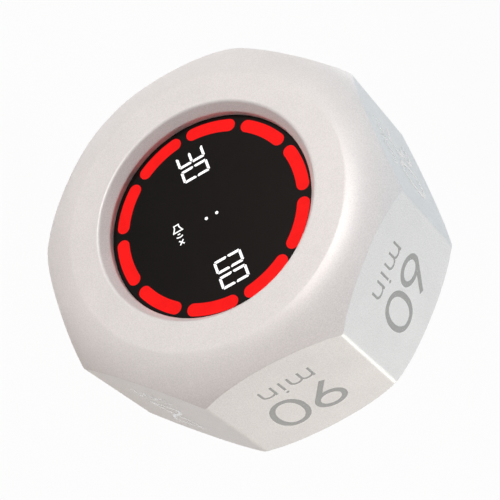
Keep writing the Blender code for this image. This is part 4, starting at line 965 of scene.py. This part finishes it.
class TIMER_OT_digits(bpy.types.Operator):
    """Lights the digits, the colon and the muted-sound sign"""

    bl_idname = "timer.digits"
    bl_label = "Digits"

    def execute(self, context):
        size = context.scene.timer_display
        segments = digit_segments(size.digit_width, size.digit_height, size.segment_width,
                                  size.segment_gap)
        signs = {f"digit_{index}": [[(x + centre * UNIT, y + DIGIT_RISE * UNIT)
                                     for x, y in segments[key]] for key in SEGMENTS[digit]]
                 for index, (digit, centre) in enumerate(zip(DIGITS, DIGIT_CENTRES))}
        signs["colon"] = [circle((COLON_SIDE * UNIT, level * UNIT), COLON_RADIUS * UNIT, 32)
                          for level in COLON_LEVELS]
        (x, y), reach = CROSS_CENTRE, CROSS_REACH
        crosses = [[(x - reach, y - reach * slant), (x + reach, y + reach * slant)]
                   for slant in (-1, 1)]
        signs["mute_sign"] = [
            polygon for path in (SPEAKER, *(arc(*wave) for wave in SOUND_WAVES), *crosses)
            for polygon in stroke([(x * UNIT, (y + SIGN_LEVEL) * UNIT) for x, y in path],
                                  SIGN_LINE * UNIT, closed=path is SPEAKER)]
        for name, shapes in signs.items():
            mesh = slab(name, shapes, on_front(LENS_FRONT), size.light_thickness)
            link_piece(name, mesh, "white_light")
        return {"FINISHED"}


# The printed flats ----------------------------------------------------------------------------

def superellipse(centre, half_width, half_height, power, steps=72):
    """A closed oval with fuller or slimmer shoulders."""
    def pull(part):
        return math.copysign(abs(part) ** (2 / power), part)

    return [(centre[0] + half_width * pull(x), centre[1] + half_height * pull(y))
            for x, y in circle((0, 0), 1, steps)]


def numeral_paths(height, line):
    """Centre lines of the printed numerals on a baseline: width, and (path, closed) pairs."""
    h, half = height, line / 2
    low, high = half, height - half
    shoulder = 0.2915 * h                         # outer radius of the bowl of a six
    bowl_centre, bowl = (shoulder, shoulder), shoulder - half
    stem_top = (shoulder + 0.125 * h, high + 0.35 * half)
    away = Vector(stem_top) - Vector(bowl_centre)
    touch = math.atan2(away.y, away.x) + math.acos(bowl / away.length)
    six_width = 2 * shoulder
    six = [([stem_top, polar(bowl, touch, bowl_centre)], False),
           (circle(bowl_centre, bowl, 64), True)]
    nine = [([(six_width - x, h - y) for x, y in path], closed) for path, closed in six]

    lower = 0.272 * (high - low)
    upper = (high - low) / 2 - lower
    middle = lower + half
    three = (bend((middle, high - upper), upper, 160, -90, 40)
             + bend((middle, low + lower), lower, 90, -158, 48)[1:])

    ball, inset, five_start = 0.262 * h, 0.03 * h, 128
    five_centre = (ball + inset, low + ball)
    top_left = five_centre[0] + ball * math.cos(math.radians(five_start)) + 0.035 * h
    five = ([(0.53 * h, high), (top_left, high)]
            + bend(five_centre, ball, five_start, -150, 48))

    hook, two_width, one_width = 0.247 * h, 0.57 * h, 0.17 * h
    two = (bend((hook + half, high - hook), hook, 168, -38, 40)
           + [(half * 1.5, low), (two_width, low)])
    one = [(half * 0.6, 0.80 * h), (one_width, high + half * 0.2), (one_width, 0)]
    oval = 0.323 * h
    zero = superellipse((oval, h / 2), oval - half, h / 2 - half, 2.15)
    return {"0": (2 * oval, [(zero, True)]), "1": (one_width + half, [(one, False)]),
            "2": (two_width, [(two, False)]), "3": (middle + lower + half, [(three, False)]),
            "5": (ball * 2 + half + inset, [(five, False)]), "6": (six_width, six),
            "9": (six_width, nine)}


def letter_paths(height, line):
    """Centre lines of the small letters on a baseline: width, and (path, closed) pairs."""
    h, half = height, line / 2
    n_span, m_span, arch_rise, arch_steps = 0.703 * h, 0.634 * h, 0.36 * h, 20

    def arch(left, span):
        wide, tall = span / 2, arch_rise - half
        crown = [(left + wide - wide * x, h - arch_rise + tall * y)
                 for x, y in arc((0, 0), 1, 0, math.pi, arch_steps)]
        return crown + [(left + span, 0)], False

    stem = ([(half, 0), (half, h)], False)
    dot = (circle((half, 1.27 * h), 0.36 * half, 12), True)
    bowl, curl = h / 2 - half, (h - line) / 4
    e_path = ([(half + 0.02 * h, h / 2), (2 * bowl + half, h / 2)]
              + bend((bowl + half, h / 2), bowl, 0, 318, 36)[1:])
    s_middle, t_stem, t_hook = 0.34 * h, 0.20 * h, 0.16 * h
    s_path = (bend((s_middle, h - half - curl), curl, 25, 270, 20)
              + bend((s_middle, half + curl), curl, 90, -155, 20)[1:])
    t_path = ([(t_stem, 1.42 * h), (t_stem, t_stem)]
              + bend((t_stem + t_hook, t_stem + half), t_hook, 180, 280, 10))
    t_bar = [(0, h - half), (0.42 * h, h - half)]
    return {
        "m": (2 * m_span + line, [stem, arch(half, m_span), arch(half + m_span, m_span)]),
        "i": (line, [stem, dot]),
        "n": (n_span + line, [stem, arch(half, n_span)]),
        "e": (2 * bowl + line, [(e_path, False)]),
        "s": (s_middle + curl + half, [(s_path, False)]),
        "t": (0.44 * h, [(t_path, False), (t_bar, False)]),
    }


def set_line(text, glyphs, line, spacing, middle, baseline):
    """Polygons of a line of text centred on a spot."""
    total = sum(glyphs[letter][0] for letter in text) + spacing * (len(text) - 1)
    left = middle - total / 2
    polygons = []
    for letter in text:
        width, paths = glyphs[letter]
        for path, closed in paths:
            polygons += stroke([(x + left, y + baseline) for x, y in path], line, closed)
        left += width + spacing
    return polygons


def hourglass(height, line, centre, baseline):
    """Polygons of an hourglass: two caps and two glass sides that cross at the waist."""
    wide, cap, steps = 0.27 * height, 0.305 * height, 40
    fullness, bulging, straight = 2.1, 0.93, 0.07           # of the glass sides
    low, high = baseline + line / 2, baseline + height - line / 2
    middle = (low + high) / 2
    polygons = []
    for level in (low, high):
        polygons += stroke([(centre - cap, level), (centre + cap, level)], line, round_ends=True)
    for side in (-1, 1):
        path = []
        for k in range(steps + 1):
            t = 2 * k / steps - 1
            bulge = math.copysign(1 - (1 - abs(t)) ** fullness, t)
            share = bulging * bulge + straight * t
            path.append((centre + side * wide * share, middle + (high - middle) * t))
        polygons += stroke(path, line)
    return polygons


# On each flat clockwise from the top: the numeral, then how far the pad print of the numeral
# and of the word sits off the flat's middle, along the reading way and up, in millimetres.
FLAT_LABELS = (("30", -0.30, -0.45, -0.23, -0.65), ("60", -0.13, 0.15, -0.57, 0.20),
               ("90", 0.60, 0.43, 0.27, 0.53), (None, 1.9, 0.9, 1.9, 0.7),
               ("5", 0.0, 0.0, 0.0, 0.0), ("10", 0.1, 0.1, -0.2, 0.1),
               ("15", -0.1, 0.0, -0.1, 0.0), ("20", 0.0, 0.1, -0.2, 0.1))
NUMERAL_SPACING, TIGHT_SPACING = 0.047, {"60": 0.036}           # in units
WORD_SPACING = {"min": 0.0615, "set": 0.045}


class TIMER_OT_prints(bpy.types.Operator):
    """Prints a time on each flat, and an hourglass on the one for a time of one's own"""

    bl_idname = "timer.prints"
    bl_label = "Printed Flats"

    def execute(self, context):
        size, text = context.scene.timer_shell, context.scene.timer_prints
        tall, line = text.numeral_height, text.numeral_stroke
        numerals = numeral_paths(tall, line)
        letters = letter_paths(text.word_height, text.word_stroke)
        for index, (label, side, rise, word_side, word_rise) in enumerate(FLAT_LABELS):
            word = "min" if label else "set"
            baseline = rise * MM - text.numeral_base
            if label:
                spacing = TIGHT_SPACING.get(label, NUMERAL_SPACING) * UNIT
                shapes = set_line(label, numerals, line, spacing, side * MM, baseline)
            else:
                shapes = hourglass(tall * 0.985, line * 0.62, side * MM, baseline + 0.01 * tall)
            shapes += set_line(word, letters, text.word_stroke, WORD_SPACING[word] * UNIT,
                               word_side * MM, word_rise * MM - text.word_base)
            name = f"print_{label or 'hourglass'}"
            place = on_flat(index, size.across_flats / 2 - size.print_thickness,
                            size.body_depth / 2)
            link_piece(name, slab(name, shapes, place, size.print_thickness), "ink")
        return {"FINISHED"}


# The rear end ---------------------------------------------------------------------------------

def round_loop(centre, radius, steps):
    """A circle that can be drawn any distance further out."""
    return lambda out: circle(centre, radius + out, steps)


def slot_loop(centre, width, height, radius, steps=7):
    """A rectangle with round corners that can be drawn any distance further out."""
    def points(out):
        found = []
        for k, (side, rise) in enumerate(((1, 1), (-1, 1), (-1, -1), (1, -1))):
            middle = (centre[0] + side * (width / 2 - radius),
                      centre[1] + rise * (height / 2 - radius))
            found += arc(middle, radius + out, k * math.pi / 2, (k + 1) * math.pi / 2, steps)
        return found
    return points


def flat_between(shape, rim, holes):
    """Fills the flat area inside one ring of vertices and outside the others."""
    vertices, outlines = [], []
    for ring in (rim, *holes):
        outlines.append(list(range(len(vertices), len(vertices) + len(ring))))
        vertices += ring
    flat = [Vector((vertex.co.x, vertex.co.z)) / MM for vertex in vertices]
    _, triangles, origins, sources = triangulated(flat, outlines)
    for triangle, source in zip(triangles, sources):
        if list(source) == [0]:
            shape.faces.new([vertices[origins[k][0]] for k in triangle])


def plate_with_holes(shape, rim, holes, outer, inner, soft):
    """Adds a plate whose edges and hole mouths are soft on the outer side.

    rim and each hole are (loop, lower), where lower is the rest of the wall's profile as (distance
    out, depth) pairs. A hole whose profile stops above the inner face is closed there.
    """
    support = soft + 0.05 * MM

    def wall(loop, lower, side):
        mouth = rounded((soft * side, outer), (0, outer), (0, outer - soft), 4)
        profile = [(support * side, outer), *mouth, (0, outer - support), *lower]
        rings = [[shape.verts.new((x, FRONT + depth, z)) for x, z in loop(out)]
                 for out, depth in profile]
        for first, second in zip(rings, rings[1:]):
            bridge(shape, first, second)
        return rings

    edge = wall(*rim, -1)
    walls = [wall(loop, lower, 1) for loop, lower in holes]
    flat_between(shape, edge[0], [rings[0] for rings in walls])
    through = []
    for rings, (_, lower) in zip(walls, holes):
        if lower[-1][1] > inner:
            shape.faces.new(rings[-1])
        else:
            through.append(rings[-1])
    flat_between(shape, edge[-1], through)


class TIMER_OT_rear_cover(bpy.types.Operator):
    """Builds the rear cover with its openings, its posts and its magnet cups"""

    bl_idname = "timer.rear_cover"
    bl_label = "Rear Cover"

    def execute(self, context):
        size = context.scene.timer_rear
        _, _, outer, radius = seat_of("rear_cover")
        inner = outer - size.cover_thickness
        through = [(0, inner)]
        button, buzzer, knob, socket = (seat_of(node)[0] for node in (
            "sound_button", "buzzer", "power_slider", "usb_shell"))
        travel = size.slider_travel
        slider_slot = (4.2 * MM + travel, 3.2 * MM, 0.6 * MM)      # width, height, corner
        socket_slot = (9.54 * MM, 3.86 * MM, 1.8 * MM)
        holes = [(round_loop(button, size.button_hole, 56), through),
                 (slot_loop((knob[0] + travel / 2, knob[1]), *slider_slot), through),
                 (slot_loop(socket, *socket_slot), through)]
        holes += [(round_loop(spot, size.sound_hole, 24), through)
                  for spot in (buzzer, *circle(buzzer, size.sound_circle, 6))]
        pocket_floor, seat = outer - size.foot_sink, outer - size.head_sink
        step = size.shank_hole - size.head_hole
        for k in range(POSTS):
            holes.append((round_loop(seat_of(f"foot_{k}")[0], size.foot_pocket, 56),
                          [(0, pocket_floor)]))
            holes.append((round_loop(seat_of(f"cover_screw_{k}")[0], size.head_hole, 40),
                          [(0, seat), (step, seat), (step, inner)]))
        shape = bmesh.new()
        rim = round_loop((0, AXIS_HEIGHT), radius, 144)
        plate_with_holes(shape, (rim, through), holes, outer, inner, size.edge_softening)

        # posts for the board's screws and cups for the magnets: radius, tip, bore and its floor
        post = (2.0 * MM, outer - 7.7 * MM, 1.1 * MM, inner - 1.2 * MM)
        cup = (5.1 * MM, outer - 4.5 * MM, 4.3 * MM, inner - 0.02 * MM)
        root = inner + 0.3 * MM
        for node, (radius, tip, bore, floor) in {
                "board_screw_0": post, "board_screw_1": post, "board_screw_2": post,
                "magnet_0": cup, "magnet_1": cup}.items():
            turned(shape, [(0, root), (radius, root), (radius, tip), (bore, tip), (bore, floor),
                           (0, floor)], 40, seat_of(node)[0])
        link_piece("rear_cover_plate", mesh_of("rear_cover_plate", shape), "cover",
                   replaces=["rear_cover"])
        return {"FINISHED"}


class TIMER_OT_screws(bpy.types.Operator):
    """Builds the four cover screws with domed heads and six-lobed recesses"""

    bl_idname = "timer.screws"
    bl_label = "Cover Screws"

    def execute(self, context):
        centre, tip, top, head = seat_of("cover_screw_0")
        shank, blunt, mouth, lobes, dent = 0.8 * MM, 0.3 * MM, 0.86 * MM, 6, 0.20
        neck, rim, brim = top - 1.0 * MM, top - 0.9 * MM, top - 0.5 * MM
        shape = bmesh.new()
        turned(shape, [(0, tip), (shank - blunt, tip), (shank, tip + 0.4 * MM), (shank, neck),
                       (head - 0.05 * MM, neck), (head, rim)]
               + rounded((head, brim), (head - 0.02 * MM, top - 0.08 * MM),
                         (head * 0.62, top), 7)
               + [(mouth, top)], 48, centre)

        def turn_of(vertex):
            return math.atan2(vertex.co.z - centre[1], vertex.co.x - centre[0])

        level = sorted({vertex for edge in shape.edges if edge.is_boundary
                        for vertex in edge.verts}, key=turn_of)
        turns = [turn_of(vertex) for vertex in level]
        for reach, depth in ((0.80 * MM, 0.06 * MM), (0.78 * MM, 0.55 * MM),
                             (0.74 * MM, 0.60 * MM)):
            spots = [polar(reach * (1 - dent + dent * math.cos(lobes * turn)), turn, centre)
                     for turn in turns]
            below = [shape.verts.new((x, FRONT + top - depth, z)) for x, z in spots]
            bridge(shape, level, below)
            level = below
        shape.faces.new(level)
        link_four("cover_screws", shape, "cover_screw", "cover_screw")
        return {"FINISHED"}


class TIMER_OT_feet(bpy.types.Operator):
    """Builds the four domed rubber feet"""

    bl_idname = "timer.feet"
    bl_label = "Rubber Feet"

    def execute(self, context):
        centre, front, back, radius = seat_of("foot_0")
        dome, rise, dimple = 0.35 * MM, 0.30 * MM, back - 0.05 * MM
        shape = bmesh.new()
        turned(shape, [(0, front), (radius, front)]
               + rounded((radius, back - rise), (radius, back), (radius - dome, back), 6)
               + [(radius * 0.6, back), (radius * 0.55, dimple), (0, dimple)], 56, centre)
        link_four("rubber_feet", shape, "foot", "foot_rubber")
        return {"FINISHED"}


def refined(node, finish, edge, steps):
    """Puts a copy of a CAD node with softened edges and its own finish in its place."""
    original = frame["nodes"][node]
    shape = bmesh.new()
    shape.from_mesh(original.data)
    merge(shape, 1e-6, 1)
    mesh = mesh_of(node + "_merged", shape, False)
    mesh.materials.clear()
    soft = settled(node + "_fine", mesh, "BEVEL", {
        "width": edge, "segments": steps, "limit_method": "ANGLE",
        "angle_limit": math.radians(35), "use_clamp_overlap": True, "miter_outer": "MITER_ARC"})
    link_piece(node + "_fine", soft, finish, original["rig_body"], [node], 40)


class TIMER_OT_controls(bpy.types.Operator):
    """Refines the sound button, the power slider and the charging socket"""

    bl_idname = "timer.controls"
    bl_label = "Controls"

    def execute(self, context):
        refined("sound_button", "knob", 0.08 * MM, 3)
        refined("power_slider", "knob", 0.07 * MM, 2)
        refined("usb_shell", "bright_steel", 0.05 * MM, 2)
        refined("usb_insert", "chip", 0.04 * MM, 1)
        return {"FINISHED"}


class TIMER_OT_inner_pieces(bpy.types.Operator):
    """Gives every carried-over piece the finish of its slot"""

    bl_idname = "timer.inner_pieces"
    bl_label = "Inner Pieces"

    def execute(self, context):
        for entry in frame["record"]["subparts"]:
            node = frame["nodes"][entry["node"]]
            if not node.hide_render:
                for slot in node.material_slots:
                    slot.material = finish_named(entry["material_slot"])
        return {"FINISHED"}


# Stage ----------------------------------------------------------------------------------------

# A light's setting, then its width, its turn and height in degrees, and its colour.
LAMPS = (("front", 0.28, -106, 11, (0.93, 0.95, 1)), ("left", 0.40, -125, 34, (0.88, 0.98, 1)),
         ("right", 0.36, 14, 13, (1, 0.82, 0.76)), ("top", 0.40, 35, 68, (0.66, 0.85, 1)),
         ("back", 0.40, 148, 25, (1, 0.97, 0.94)), ("edge", 0.37, 54, 11, (0.95, 1, 0.91)),
         ("low", 0.12, -104, 4, (1, 0.84, 0.73)))
LAMP_DISTANCE = 0.8
FLOOR_REACH, FLOOR_GAP = 3.0, 0.03 * MM
FLOOR_COLOUR, FLOOR_WHITE = (0.44, 0.39, 0.37, 1), 0.97
SKY_COLOUR = (1, 0.985, 0.97, 1)
CAMERA_PLACE = Vector((193.83, -288.18, 116.21)) * MM
CAMERA_RIGHT = Vector((0.29709, 0.43718, 0.84889))
CAMERA_UP = Vector((-0.78609, -0.39269, 0.47734))


def soft_light(name, energy, size, turn, height, colour):
    """A square light aimed at the object from a direction in degrees."""
    turn, height = math.radians(turn), math.radians(height)
    way = Vector((*polar(math.cos(height), turn), math.sin(height)))
    lamp = bpy.data.lights.new(name, "AREA")
    lamp.energy, lamp.size, lamp.color = energy, size, colour
    holder = bpy.data.objects.new(name, lamp)
    holder.location = Vector((0, 0, AXIS_HEIGHT)) + way * LAMP_DISTANCE
    holder.rotation_euler = (-way).to_track_quat("-Z", "Y").to_euler()
    bpy.context.scene.collection.objects.link(holder)


def white_to_camera(block, kind, constants, share, end):
    """Gives a material or a world a shader, and white light for what the camera sees.

    White also shows in glass and metal, and a share below 1 lets the shader show through.
    """
    block.use_nodes = True
    block.node_tree.nodes.clear()
    tree = Tree(block.node_tree)
    path = tree.node("ShaderNodeLightPath")
    camera, glossy, glass = (path.output(label) for label in (
        "Is Camera Ray", "Is Glossy Ray", "Is Transmission Ray"))
    seen = tree.sum("MAXIMUM", camera, tree.sum("MAXIMUM", glossy, glass))
    white = tree.node("ShaderNodeEmission", {}, {"Color": (1, 1, 1, 1), "Strength": 1.0})
    plain = tree.node(kind, {}, constants)
    mixed = tree.node("ShaderNodeMixShader", {}, {0: seen * share, 1: plain, 2: white})
    tree.node(end, {}, {0: mixed})


class TIMER_OT_stage(bpy.types.Operator):
    """Sets the pale floor, the soft lights and the camera"""

    bl_idname = "timer.stage"
    bl_label = "Studio"

    def execute(self, context):
        scene, stage = context.scene, context.scene.timer_stage
        material = bpy.data.materials.new("studio_floor")
        white_to_camera(material, "ShaderNodeBsdfDiffuse", {"Color": FLOOR_COLOUR}, FLOOR_WHITE,
                        "ShaderNodeOutputMaterial")
        shape = bmesh.new()
        bmesh.ops.create_grid(shape, x_segments=1, y_segments=1, size=FLOOR_REACH)
        bmesh.ops.translate(shape, vec=(0, 0, HOUSING_LOW.z - FLOOR_GAP), verts=shape.verts)
        mesh = mesh_of("studio_floor", shape, False)
        mesh.materials.append(material)
        floor = bpy.data.objects.new("studio_floor", mesh)
        scene.collection.objects.link(floor)

        scene.world = bpy.data.worlds.new("studio_world")
        white_to_camera(scene.world, "ShaderNodeBackground",
                        {"Color": SKY_COLOUR, "Strength": stage.fill}, 1.0,
                        "ShaderNodeOutputWorld")
        for name, *rest in LAMPS:
            soft_light(name + "_light", getattr(stage, name), *rest)

        lens = bpy.data.cameras.new("studio_camera")
        lens.lens, lens.sensor_width = stage.lens, 36
        lens.clip_start, lens.clip_end = 0.01, 20
        camera = bpy.data.objects.new("studio_camera", lens)
        axes = Matrix((CAMERA_RIGHT, CAMERA_UP, CAMERA_RIGHT.cross(CAMERA_UP))).transposed()
        camera.matrix_world = Matrix.Translation(CAMERA_PLACE) @ axes.to_4x4()
        scene.collection.objects.link(camera)
        scene.camera = camera
        scene.view_settings.view_transform = "Standard"
        return {"FINISHED"}


PIECES = (TIMER_OT_shell, TIMER_OT_glass, TIMER_OT_light_ring, TIMER_OT_digits, TIMER_OT_prints,
          TIMER_OT_rear_cover, TIMER_OT_screws, TIMER_OT_feet, TIMER_OT_controls,
          TIMER_OT_inner_pieces, TIMER_OT_stage)
GROUPS = {"timer_shell": ShellSizes, "timer_display": DisplaySizes, "timer_prints": PrintSizes,
          "timer_rear": RearSizes, "timer_finishes": Finishes, "timer_stage": StageSettings}


class TIMER_PT_panel(bpy.types.Panel):
    """Lists the timer's sizes, finishes and pieces"""

    bl_label = "Flip Timer"
    bl_idname = "TIMER_PT_panel"
    bl_space_type = "VIEW_3D"
    bl_region_type = "UI"
    bl_category = "Timer"

    def draw(self, context):
        for name, group in GROUPS.items():
            box = self.layout.box()
            box.label(text=group.__doc__.rstrip("."))
            for field in group.__annotations__:
                box.prop(getattr(context.scene, name), field)
        for piece in PIECES:
            self.layout.operator(piece.bl_idname)


def register():
    """Registers the property groups, the operators and the panel."""
    for group in (*GROUPS.values(), *PIECES, TIMER_PT_panel):
        bpy.utils.register_class(group)
    for name, group in GROUPS.items():
        setattr(bpy.types.Scene, name, bpy.props.PointerProperty(type=group))


def unregister():
    """Takes them away again."""
    for name in GROUPS:
        delattr(bpy.types.Scene, name)
    for group in (TIMER_PT_panel, *reversed(PIECES), *reversed(list(GROUPS.values()))):
        bpy.utils.unregister_class(group)


def main():
    """Builds every piece in order."""
    register()
    for piece in PIECES:
        group, name = piece.bl_idname.split(".")
        getattr(getattr(bpy.ops, group), name)()


if __name__ == "__main__":
    main()
